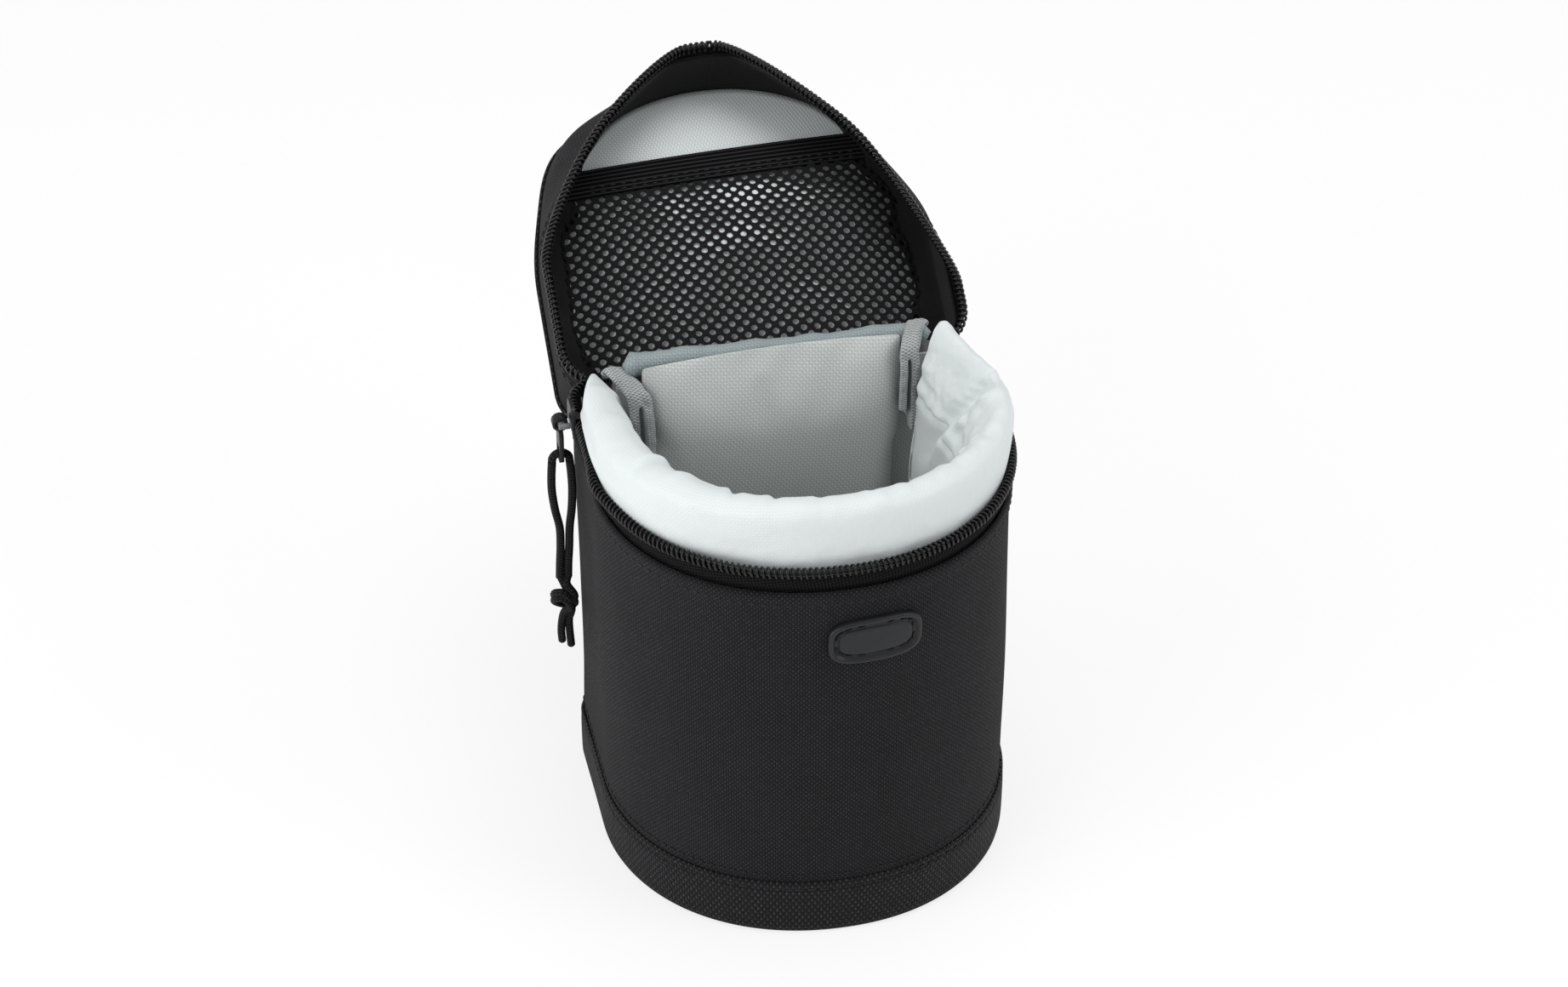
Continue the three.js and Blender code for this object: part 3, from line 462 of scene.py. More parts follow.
def coil(name, place, first, last):
    """A zip's spiral coil round its filler cords; place(distance, out, height) gives points."""
    # Half the coil's height and thickness, the wire's and the cords' radius, the cords' way from the middle
    reach, bulge, wire, filler, apart = 1.6, 1.05, 0.46, 0.66, 0.55
    steps = 10
    turns = int(abs(last - first) / (bpy.context.scene.pouch_sizes.coil_pitch / MM))

    def spiral(i):
        cos, sin = math.cos(2 * math.pi * i / steps), math.sin(2 * math.pi * i / steps)
        out = bulge * sin * (1.15 - 0.15 * cos)
        return place(between(first, last, i / (turns * steps)), out, reach * cos)

    lines = [([spiral(i) for i in range(turns * steps + 1)], 1)]
    for height in (-apart, apart):
        cord = [place(between(first, last, i / turns), 0, height) for i in range(turns + 1)]
        lines.append((cord, filler / wire))
    curve = set_all(bpy.data.curves.new(name, "CURVE"), dimensions="3D", bevel_depth=wire * MM,
                    bevel_resolution=1, use_fill_caps=True)
    for line, radius in lines:
        spline = curve.splines.new("POLY")
        spline.points.add(len(line) - 1)
        for point, at in zip(spline.points, line):
            set_all(point, co=(*(at * MM), 1), radius=radius)
    holder = placed(name + "_line", curve)
    mesh = evaluated(holder)
    bpy.data.objects.remove(holder)
    mesh.name = name
    return placed(name, mesh)


def dressed(name, node, bevel, segments=2):
    """A copy of a solid with its faces joined up and its edges rounded."""
    bm = bmesh.new()
    bm.from_mesh(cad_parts[node].data)
    bm.transform(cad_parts[node].matrix_world)
    bmesh.ops.remove_doubles(bm, verts=bm.verts, dist=0.00002)
    bmesh.ops.dissolve_limit(bm, angle_limit=math.radians(2), verts=bm.verts, edges=bm.edges)
    obj = new_object(name, bm, 1.0)
    if bevel:
        modifier(obj, "BEVEL", width=bevel * MM, segments=segments, limit_method="ANGLE",
                 angle_limit=math.radians(35), profile=0.5)
    return obj


def dress(name, node, look, body, bevel, segments=2):
    """Puts a rounded copy of a solid in its place."""
    return finish(dressed(name, node, bevel, segments), look, body, nodes=[node])


def inflated(obj, pinned, cap, shrink, bending=0.4):
    """Fills a closed cloth by a short simulation; no point moves further than the cap."""
    frames, stiffness = 20, 12.0
    rest = [v.co.copy() for v in obj.data.vertices]
    group = obj.vertex_groups.new(name="held")
    for index, weight in pinned.items():
        group.add([index], weight, "REPLACE")
    cloth = modifier(obj, "CLOTH")
    set_all(cloth.settings, use_pressure=True, uniform_pressure_force=bpy.context.scene.pouch_sizes.puff,
            vertex_group_mass="held", tension_stiffness=stiffness, compression_stiffness=stiffness,
            shear_stiffness=stiffness / 2, bending_stiffness=bending, shrink_min=shrink)
    cloth.settings.effector_weights.gravity = 0
    set_all(cloth.point_cache, frame_start=1, frame_end=frames)
    for step in range(1, frames + 1):
        bpy.context.scene.frame_set(step)
    applied(obj)
    bpy.context.scene.frame_set(1)
    for vertex, start in zip(obj.data.vertices, rest):
        way = vertex.co - start
        if way.length > cap * MM:
            vertex.co = start + way.normalized() * cap * MM
    obj.vertex_groups.clear()


# Materials
def add(tree, kind, inputs=None, **settings):
    """Adds a node with its settings, and sets or links its inputs."""
    made = set_all(tree.nodes.new(kind), **settings)
    for key, value in (inputs or {}).items():
        if isinstance(value, bpy.types.NodeSocket):
            tree.links.new(value, made.inputs[key])
        else:
            made.inputs[key].default_value = value
    return made


SHADER_INPUTS = {"rough": "Roughness", "specular": "Specular IOR Level", "ior": "IOR",
                 "sheen": "Sheen Weight", "pile": "Sheen Roughness"}


class Look:
    """A material in the making: a colour, patterns on the cloth or on the object, and bump"""

    def __init__(self, name, colour=(), lies="UV", **constants):
        self.made = bpy.data.materials.new(name)
        self.made.use_nodes = True
        self.tree = self.made.node_tree
        self.shader = self.tree.nodes["Principled BSDF"]
        self.colour = colour
        self.source = lies and self.add("ShaderNodeTexCoord").outputs[lies]
        self.bump = None
        for key, value in constants.items():
            self.shader.inputs[SHADER_INPUTS[key]].default_value = value

    def add(self, kind, inputs=None, **settings):
        return add(self.tree, kind, inputs, **settings)

    def weave(self, pitch, turn=(0, 0, 0)):
        """Plain weave, from -1 where one thread is on top to 1 where the other is, 0 in the gaps."""
        across, along = pitch if isinstance(pitch, tuple) else (pitch, pitch)
        scale = [math.pi / pitch for pitch in (across, along, along)]
        mapped = self.add("ShaderNodeMapping", {"Vector": self.source, "Rotation": turn, "Scale": scale})
        split = self.add("ShaderNodeSeparateXYZ", {0: mapped.outputs[0]})
        waves = [self.add("ShaderNodeMath", {0: split.outputs[i]}, operation="SINE") for i in (0, 1)]
        return self.add("ShaderNodeMath", {i: wave.outputs[0] for i, wave in enumerate(waves)},
                        operation="MULTIPLY").outputs[0]

    def ribs(self, pitch, turn=(0, 0, 0), rough=0.0):
        """Round ribs, from 0 in the grooves to 1 on top."""
        mapped = self.add("ShaderNodeMapping", {"Vector": self.source, "Rotation": turn})
        # A wave texture of scale 1 has a band every pi / 10
        return self.add("ShaderNodeTexWave", {
            "Vector": mapped.outputs[0], "Scale": math.pi / (10 * pitch), "Distortion": rough,
            "Detail": 1.0, "Detail Scale": 0.5}).outputs["Fac"]

    def grain(self, size, detail=0):
        """Soft blotches of a size, or pits like those of foam or pile where they have no detail."""
        inputs = {"Vector": self.source, "Scale": 1 / size}
        if detail:
            return self.add("ShaderNodeTexNoise", {**inputs, "Detail": detail}).outputs["Fac"]
        return self.add("ShaderNodeTexVoronoi", inputs).outputs["Distance"]

    def tone(self, pattern, low, high, start=0.0, end=1.0):
        """A colour that turns from low to high while the pattern goes from start to end.

        Low and high are shades of the look's own colour, or other colours."""
        share = self.add("ShaderNodeMapRange", {"Value": pattern, "From Min": start, "From Max": end})
        low, high = (rgba(self.colour, v) if isinstance(v, (int, float)) else v for v in (low, high))
        # The colour sockets of this node share their names with others, so they go by number
        return self.add("ShaderNodeMix", {0: share.outputs[0], 6: low, 7: high}, data_type="RGBA").outputs[2]

    def paint(self, *tone):
        self.tree.links.new(self.tone(*tone), self.shader.inputs["Base Color"])

    def shine(self, pattern, low, high):
        """Lets the pattern turn the roughness from low to high."""
        share = self.add("ShaderNodeMapRange", {"Value": pattern, "To Min": low, "To Max": high})
        self.tree.links.new(share.outputs[0], self.shader.inputs["Roughness"])

    def relief(self, pattern, depth, strength, ridged=False):
        """Bump of a depth in millimetres on top of earlier bump; ridged raises both threads of a weave."""
        if ridged:
            pattern = self.add("ShaderNodeMath", {0: pattern}, operation="ABSOLUTE").outputs[0]
        under = {"Normal": self.bump} if self.bump else {}
        self.bump = self.add("ShaderNodeBump", {
            "Height": pattern, "Distance": depth * MM, "Strength": strength, **under}).outputs[0]
        self.tree.links.new(self.bump, self.shader.inputs["Normal"])


def rgba(colour, light=1.0):
    return (*[min(1, c * light) for c in colour], 1)


def woven_shell(colours, sizes):
    """Polyester oxford, plain woven, coated on its back: dull, with a pale painted glint where a thread comes
    up
    """
    look = Look("woven_polyester_oxford", colours.shell, rough=0.8, sheen=0.03, pile=0.5, specular=0.12)
    # The real threads are 0.4 mm apart: drawn coarser, so that they show
    weave = look.weave(sizes.shell_thread)
    ground = look.tone(look.grain(0.018, 3), 0.7, 1.05, 0.3, 0.75)
    # Painted highlight: each thread's glint, where it comes up, is painted as a pale speck in the colour
    painted_glint = look.tone(look.grain(0.0022, 1), 2.4, 5.2, 0.3, 0.7)
    look.paint(weave, ground, painted_glint, 0.3, 0.95)
    look.relief(weave, 0.2, 0.9, ridged=True)
    return look.made


def woven_band(colours, sizes):
    """Ballistic nylon, thick basket weave: upright dashes of shiny thread, their glints painted in as pale
    highlights, each row set over by half
    """
    look = Look("ballistic_nylon_weave", colours.band, rough=0.6, sheen=0.02, specular=0.16)
    weave = look.weave((sizes.band_thread, sizes.band_thread * 1.4))
    # Painted highlight: the shiny thread's glints are painted as pale dashes over the weave
    painted_dash_glint = look.tone(look.grain(0.003, 2), 2.2, 7.5, 0.3, 0.7)
    look.paint(weave, 0.4, painted_dash_glint, 0.2, 0.9)
    look.relief(weave, 0.4, 0.9, ridged=True)
    look.relief(look.ribs(sizes.band_thread / 4), 0.04, 0.6)
    return look.made


def brushed_lining(colours, sizes):
    """Polyester tricot, brushed: soft short pile that scatters light at its edges"""
    look = Look("brushed_tricot", colours.black, rough=0.95, sheen=0.06, pile=0.6, specular=0.05)
    look.paint(look.grain(0.012, 2), 0.75, 1.35)
    look.relief(look.grain(0.0006, 3), 0.25, 0.7)
    return look.made


def pale_twill(sizes, name, colour, lies, turn, shade=1.0, depth=0.1, groove=0.6, puckers=0.0):
    """Nylon lining, satin twill: fine diagonal ribs whose grooves are painted darker as painted shade, with a
    soft sheen that shows every pucker
    """
    look = Look(name, colour, lies, rough=0.5, sheen=0.2, pile=0.4, specular=0.35)
    # The real threads are 0.6 mm apart: drawn coarser, so that they show
    dots = look.weave(sizes.twill_rib * 0.58, turn)
    diagonal = look.ribs(sizes.twill_rib, turn)
    tone = look.tone(look.grain(0.03, 3), 0.94 * shade, shade, 0.3, 0.7)
    # Painted shade: the grooves between the ribs, and the dips of the cross threads, are painted darker by
    # the groove setting
    groove_shaded_tone = look.tone(diagonal, (groove + 1) / 2 * shade, tone, 0.1, 0.6)
    look.paint(dots, (groove + 0.25) / 1.25 * shade, groove_shaded_tone, -0.8, 0.3)
    look.relief(diagonal, depth, 0.35)
    if puckers:
        look.relief(look.grain(0.011, 2), puckers, 0.6)
    return look.made


def grosgrain(colours, sizes):
    """Polyester grosgrain tape: cross ribs, dull, a little fuzzy"""
    look = Look("grosgrain_tape", colours.binding, rough=0.85, sheen=0.2, specular=0.2)
    weave = look.weave((0.00095, 0.0006))
    look.paint(weave, 0.42, 1.2, -0.6, 0.7)
    look.relief(weave, 0.3, 0.9, ridged=True)
    return look.made


def zip_tape(colours, sizes):
    """Polyester zip tape, herringbone woven: matt, with fine lengthwise ribs"""
    look = Look("woven_zip_tape", colours.black, rough=0.85, specular=0.06)
    weave = look.weave(0.0007, (0, 0, 0.6))
    look.paint(weave, 0.4, 3.0, -0.3, 1)
    look.relief(weave, 0.12, 0.7)
    return look.made


def zip_coil(colours, sizes):
    """Nylon monofilament, drawn and coiled: smooth, with a thin bright line on each tooth"""
    look = Look("nylon_monofilament", colours.black, "Object", specular=0.3, ior=1.53)
    grain = look.grain(0.004, 2)
    look.paint(grain, 0.2, 1.2)
    look.shine(grain, 0.24, 0.36)
    return look.made


def braided_cord(colours, sizes):
    """Polyester braid over a core: diamonds of thread, dull"""
    look = Look("braided_polyester", colours.black, rough=0.75, sheen=0.03, specular=0.15)
    weave = look.weave(0.00075, (0, 0, math.pi / 4))
    look.paint(weave, 0.6, 4.5, -0.2, 0.9)
    look.relief(weave, 0.3, 1.0, ridged=True)
    return look.made


def knitted_net(colours, sizes):
    """Polyester mesh, warp knitted and heat set: matt bars between round holes"""
    look = Look("warp_knitted_net", colours.black, rough=0.8, sheen=0.03, specular=0.12)
    knit = look.ribs(0.0005, (0, 0, 0.8), 1.0)
    look.paint(knit, 0.5, 2.4)
    look.relief(knit, 0.1, 0.8)
    return look.made


def ribbed_elastic(colours, sizes):
    """Knitted elastic: lengthwise ribs of covered rubber thread"""
    look = Look("ribbed_elastic", colours.black, rough=0.8, specular=0.06)
    rows = look.ribs(0.0014, (0, 0, math.pi / 2))
    look.paint(rows, 0.4, 5.0, 0.5, 1.0)
    look.relief(rows, 0.35, 0.9)
    look.relief(look.ribs(0.0007), 0.12, 0.6)
    return look.made


def thread(colours, sizes):
    """Bonded nylon thread: smooth, with a slight wax shine"""
    look = Look("bonded_nylon_thread", colours.black, "Object", rough=0.5, specular=0.3)
    grain = look.grain(0.0015, 2)
    look.paint(grain, 0.6, 2.0)
    look.relief(grain, 0.05, 0.5)
    return look.made


def badge_rubber(colours, sizes):
    """Moulded PVC rubber: even and slightly glossy, with a fine matt texture"""
    look = Look("moulded_soft_pvc", lies="Object", specular=0.3)
    grain = look.grain(0.0005, 3)
    look.paint(look.grain(0.006, 2), rgba(linear("#161719")), rgba(linear("#1e1f21")))
    look.shine(grain, 0.36, 0.52)
    look.relief(grain, 0.02, 0.5)
    return look.made


def painted_zinc(name, code, rough):
    """Zinc alloy, die cast and enamelled: smooth paint over soft edges, rubbed a little"""
    look = Look(name, linear(code), "Object", rough=rough, specular=0.35)
    grain = look.grain(0.0012, 3)
    look.paint(grain, 0.75, 1.25)
    look.relief(grain, 0.02, 0.4)
    return look.made


def cut_foam(colours, sizes):
    """Polyurethane foam, cut: open cells, matt"""
    look = Look("cut_foam", lies="Object", rough=0.95)
    cells = look.grain(1 / 900)
    look.paint(cells, rgba(linear("#4b4c4e")), rgba(linear("#6d6e70")))
    look.relief(cells, 0.3, 0.8)
    return look.made


def pressed_board(colours, sizes):
    """Polypropylene sheet, pressed: smooth, faintly pebbled"""
    look = Look("pressed_board", lies="Object", rough=0.6)
    grain = look.grain(0.002, 3)
    look.paint(grain, rgba(linear("#2b2c2e")), rgba(linear("#3a3b3d")))
    look.relief(grain, 0.05, 0.5)
    return look.made


def fastener_pile(name, size):
    """Nylon hook and loop tape: a rough field of tiny hooks or loops"""
    look = Look(name, lies="Object", rough=0.9, specular=0.1)
    pile = look.grain(size)
    look.paint(pile, rgba(linear("#2a2a2c")), rgba(linear("#101011")))
    look.relief(pile, 0.6, 1.0)
    return look.made


def webbing(colours, sizes):
    """Nylon webbing, woven: rounded ribs across, a little shine"""
    look = Look("nylon_webbing", colours.band, "Object", rough=0.6, sheen=0.05, specular=0.2)
    weave = look.weave(0.0013, (math.pi / 2, 0, 0))
    look.paint(weave, 0.5, 1.8, -0.5, 0.9)
    look.relief(weave, 0.4, 0.9, ridged=True)
    return look.made


MAKERS = {
    "shell": woven_shell,
    "band": woven_band,
    "brushed": brushed_lining,
    "collar": lambda colours, sizes: pale_twill(
        sizes, "nylon_satin_lining", colours.lining, "UV", (0, 0, 0.7), depth=0.03, groove=0.9, puckers=1.6),
    "pad": lambda colours, sizes: pale_twill(
        sizes, "nylon_twill_lining", colours.pad, "Object", (math.pi / 2, 0, 0.7)),
    # The panel is the lining's colour painted 6% lighter: painted light, so that it reads bright through the
    # net that shades it
    "panel": lambda colours, sizes: pale_twill(
        sizes, "nylon_twill_panel", colours.lining, "UV", (0, 0, 0.45), 1.06, groove=0.62),
    "hem": lambda colours, sizes: pale_twill(
        sizes, "nylon_twill_hem", colours.hem, "UV", (0, 0, 0.7), depth=0.2),
    "binding": grosgrain,
    "tape": zip_tape,
    "coil": zip_coil,
    "cord": braided_cord,
    "net": knitted_net,
    "elastic": ribbed_elastic,
    "thread": thread,
    "rubber": badge_rubber,
    "slider": lambda colours, sizes: painted_zinc("enamelled_zinc", "#151516", 0.4),
    "bridge": lambda colours, sizes: painted_zinc("plated_zinc", "#6f7173", 0.35),
    "foam": cut_foam,
    "board": pressed_board,
    "hooks": lambda colours, sizes: fastener_pile("hook_tape", 0.0012),
    "loops": lambda colours, sizes: fastener_pile("loop_tape", 0.0008),
    "webbing": webbing,
}
MADE = {}


def finish_of(name):
    """Each material is made once and shared."""
    if name not in MADE:
        scene = bpy.context.scene
        MADE[name] = MAKERS[name](scene.pouch_colours, scene.pouch_sizes)
    return MADE[name]


class PouchOperator(bpy.types.Operator):
    bl_options = {"REGISTER", "UNDO"}


def aim(obj, place, way):
    """Puts a camera or a lamp at a place, and lets it look along a way."""
    obj.location = place
    obj.rotation_euler = Vector(way).to_track_quat("-Z", "Y").to_euler()


class POUCH_OT_camera(PouchOperator):
    """Sets the camera at the angle of a view from above and a little from the left"""
    bl_idname = "pouch.camera"
    bl_label = "Camera"

    def execute(self, context):
        data = set_all(bpy.data.cameras.new("camera"), lens=126.97, sensor_width=36, clip_end=20)
        context.scene.camera = placed("camera", data)
        aim(context.scene.camera, (-0.2749, -1.3442, 1.0811), (0.1612, 0.8029, -0.5740))
        return {"FINISHED"}


# Each strand of the pull cord: sideways from the pivot, and height
STRANDS = {
    "outer": ((-2.7, 121.9), (-3.0, 117), (-3.0, 111), (-2.2, 104),
              (-0.9, 97), (-0.8, 90), (-1.1, 84), (-1.3, 78.3)),
    "inner": ((2.7, 121.9), (3.1, 117), (3.3, 111), (3.0, 104),
              (2.2, 97), (1.9, 90), (1.5, 84), (1.3, 78.3)),
}
# The turn's radius at the tab's lower bar, and the bar's height
CORD_TURN = 2.7
TAB_BAR = 122.2
# Way of a strand through the knot, from the pivot sideways and forward, and its height
KNOT = ((0, 0, 79), (0.6, -1.6, 75.5), (2.6, -2.4, 72), (2.9, 0.6, 68.2), (0.2, 2.7, 67),
        (-2.8, 1.6, 69.2), (-3, -1.4, 72.4), (-0.6, -2.9, 73), (1.6, -2.6, 69.4),
        (0.9, -0.6, 65.5), (0.2, 0.2, 62), (0, 0, 58))


class POUCH_OT_pull(PouchOperator):
    """Builds the slider, its bridge and tab, and the knotted pull cord"""
    bl_idname = "pouch.pull"
    bl_label = "Slider and pull"

    def execute(self, context):
        radius = context.scene.pouch_sizes.cord_width / MM / 2
        dress("slider_body", "zip_slider", "slider", "slider", 0.5, 3)
        dress("slider_arch", "slider_bridge", "bridge", "slider", 0.4, 3)
        dress("pull_frame", "pull_tab", "slider", "pull", 0.25)

        steps = 8
        turn = [Vector((PIVOT.x - CORD_TURN * math.cos(a), PIVOT.y, TAB_BAR + CORD_TURN * math.sin(a)))
                for a in (math.pi * i / steps for i in range(steps + 1))]
        arc = tube("cord_turn", turn, radius, 12)
        finish(arc, "cord", "pull", nodes=["pull_cord_turn"])
        knot = self.knot(radius)
        for word, strand in STRANDS.items():
            points = [Vector((PIVOT.x + x, PIVOT.y, z)) for x, z in strand]
            line = resample(points, 30)
            piece = tube("cord_" + word, points, radius, 12, len(line), ends=False)
            finish(piece, "cord", "pull", nodes=["pull_cord_" + word])
            path = [tuple(p * MM) for p in line]
            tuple(path[0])
        return {"FINISHED"}

    def knot(self, radius):
        """An overhand knot in both strands, drawn tight, with two cut tails"""
        last = len(KNOT) - 1
        bm = bmesh.new()
        for side in (-1, 1):
            points = []
            for i, (x, y, z) in enumerate(KNOT):
                apart = side * (1.3 if i in (0, last) else 1.1)
                # The strands lie side by side where they come in and go out, and one over the other between
                tilt = Vector((apart, 0, 0)) if i == 0 or i > last - 3 else Vector((0, 0, apart))
                points.append(Vector((PIVOT.x + x, PIVOT.y + y, z)) + tilt)
            points.append(Vector((PIVOT.x + side * 1.35 + 0.3, PIVOT.y - 0.3 * side, 53 - side * 0.8)))
            part = tube("knot_part", points, radius * 0.95, 12, 70)
            bm.from_mesh(part.data)
            bpy.data.objects.remove(part)
        return finish(new_object("cord_overhand", bm, 1.0), "cord", "pull", nodes=["cord_knot"])


class POUCH_OT_shell(PouchOperator):
    """Builds the outer cloth, the foot band, the base and their stitching"""
    bl_idname = "pouch.shell"
    bl_label = "Shell and base"

    def execute(self, context):
        cloth = 1.1

        def wrap(u, v):
            d = CORNER_ARC * (2 * u - 1)
            z = between(SHELL_FOOT, SHELL_TOP, v)
            hem = 0.5 * smooth(z, SHELL_TOP - 5.2, SHELL_TOP - 4.4)
            lip = 0.6 * smooth(z, SHELL_TOP - 0.7, SHELL_TOP) ** 2
            ripple = 0.7 * uneven(d * 0.018, z * 0.014, 3.1) + 0.25 * uneven(d * 0.06, z * 0.03, 8.4)
            ripple *= smooth(z, 20, 40) * smooth(SHELL_TOP - z, 0, 14)
            return body_at(d, -0.1 + hem - lip + ripple, z), (d, z)

        shell = sheet("shell_cloth", 220, 90, wrap, thick=cloth)
        finish(shell, "shell", "pouch", nodes=["front_shell"], held="stretched")

        def rear(u, v):
            x, z = HALF_BACK * (2 * u - 1), between(SHELL_FOOT, PANEL_TOP, v)
            ripple = 0.2 * math.sin(math.pi * u) ** 0.4 * uneven(x * 0.03, z * 0.03, 1)
            return Vector((-x, BACK - 0.2 + ripple, z)), (-x, z)

        back = sheet("back_cloth", 60, 70, rear, thick=cloth)
        finish(back, "shell", "pouch", nodes=["back_panel"], held="stretched")
        self.band()
        self.base()
        self.seams()
        return {"FINISHED"}

    def band(self):
        # Section of the band, from under the base upwards: how far out, and height
        length, section = path_of((
            (-3.5, 0.0), (-1.6, 0.05), (-0.2, 0.5), (0.55, 1.5), (0.85, 3), (0.9, 6), (0.9, 10), (0.9, 14),
            (0.85, 16.4), (0.5, 17.2), (0.8, 18), (0.85, 19), (0.55, 19.75), (-0.1, 19.95)))

        def wrap(u, v):
            d = HALF_ARC * (2 * u - 1)
            out, z = section(v * length)
            sway = 0.35 * uneven(d * 0.03, z * 0.05, 5.5)
            return body_at(d, out + sway * smooth(z, 0, 5), z), (d, v * length)

        band = sheet("foot_band", 260, 34, wrap, thick=1.4)
        finish(band, "band", "pouch", nodes=["base_band"], held="stretched")

    def base(self):
        def disc(u, v):
            edge = body_at(HALF_ARC * (2 * u - 1), -2.2, 0)
            dip = 0.25 + 0.5 * (1 - v) ** 2
            return Vector((edge.x * v, edge.y * v, dip)), (edge.x * v, edge.y * v)

        base = sheet("base_cloth", 120, 24, disc, thick=1.0)
        finish(base, "band", "pouch", nodes=["base_panel"], held="stretched")

    def seams(self):
        # Rows of stitches: height, how far out, half the length
        rows = (("stitch_band", 17.3, 0.55, HALF_ARC), ("stitch_shell_low", 22.3, -0.1, CORNER_ARC),
                ("stitch_shell_top", SHELL_TOP - 4.6, 0.02, CORNER_ARC))
        for name, z, base, reach in rows:
            row = stitches(name, lambda d, out: body_at(d, base + out, z), -reach, reach)
            finish(row, "thread", "pouch")
        for word, x in (("left", -HALF_BACK), ("right", HALF_BACK)):
            line = [Vector((x, BACK - 0.1, z)) for z in np.linspace(SHELL_FOOT + 1, PANEL_TOP - 1.1, 24)]
            finish(tube("welt_" + word, line, 0.9, 8, 60), "shell", "pouch")


class POUCH_OT_zip(PouchOperator):
    """Builds the body's zip tape and coil"""
    bl_idname = "pouch.zip"
    bl_label = "Body zip"

    def execute(self, context):
        def tape(u, v):
            d = ZIP_END * (2 * u - 1)
            z = between(TAPE_FOOT, TAPE_TOP, v)
            under = smooth(SHELL_TOP + 2.4 - z, 0, 2)
            return body_at(d, -0.35 - under + slack(d) * smooth(z, SHELL_TOP, 135), z), (d, z)

        piece = sheet("body_zip_tape", 200, 10, tape, thick=0.8)
        finish(piece, "tape", "pouch", nodes=["lower_zip_tape"])
        row = coil("body_zip_coil", lambda d, out, height: body_at(d, slack(d) - 0.2 + out, COIL_Z + height),
                   -ZIP_END, ZIP_END)
        finish(row, "coil", "pouch", nodes=["lower_zip_coil"])
        return {"FINISHED"}


# Along the collar, as shares of its half length: how far out, how thick above and below, and its top's rise
COLLAR_SHARES = (-1, -0.95, -0.88, -0.75, -0.6, -0.4, 0, 0.3, 0.5, 0.62, 0.75, 0.85, 0.93, 1)
COLLAR_OUT = (-6.6, -4.2, -2.2, -1.0, -1.2, -2.4, -3.6, -3.2, -2.0, -1.0, -1.4, -4.6, -7.6, -9.4)
COLLAR_UPPER = (3, 6, 10, 13, 14, 13.5, 12, 11, 9, 7.5, 6, 6.5, 7, 6.5)
COLLAR_LOWER = (12, 13, 14, 14, 14, 13, 12.5, 12, 12, 13, 14, 15.5, 17, 17)
COLLAR_RISE = (-8.4, -6.2, -3.4, -0.8, 0, 0.4, 1.0, 0.4, 0, 0, -1.4, -3.2, -3.0, -3.0)
COLLAR_FOOT = ZIP - 7.4
COLLAR_TOP = ZIP + 18.6
# Folds on its inner side: place along it, depth, width and slant
COLLAR_FOLDS = ((-71, 3.0, 1.5, 0.3), (-58, -0.9, 3.0, 0.2), (-36, 1.5, 1.8, -0.4), (-22, 1.3, 1.6, 0.3),
                (-6, 0.7, 1.6, 0.1), (12, 0.6, 1.6, 0.1), (26, 0.9, 1.8, -0.2), (45, 0.9, 2.2, 0.2),
                (64, 1.4, 2.0, 0.5))


def swing_at(distance):
    """Slow unevenness along the collar."""
    return uneven(distance * 0.075, 0.3, 2.2) + 0.6 * uneven(distance * 0.19, 0.8, 6.1)


def long_fold(distance, z):
    """The long fold at the right rear, which runs from the collar down into the wall."""
    return 3.2 * crease((distance - 95 - 0.5 * (157 - z)) / 3.6) * smooth(z, 108, 126)


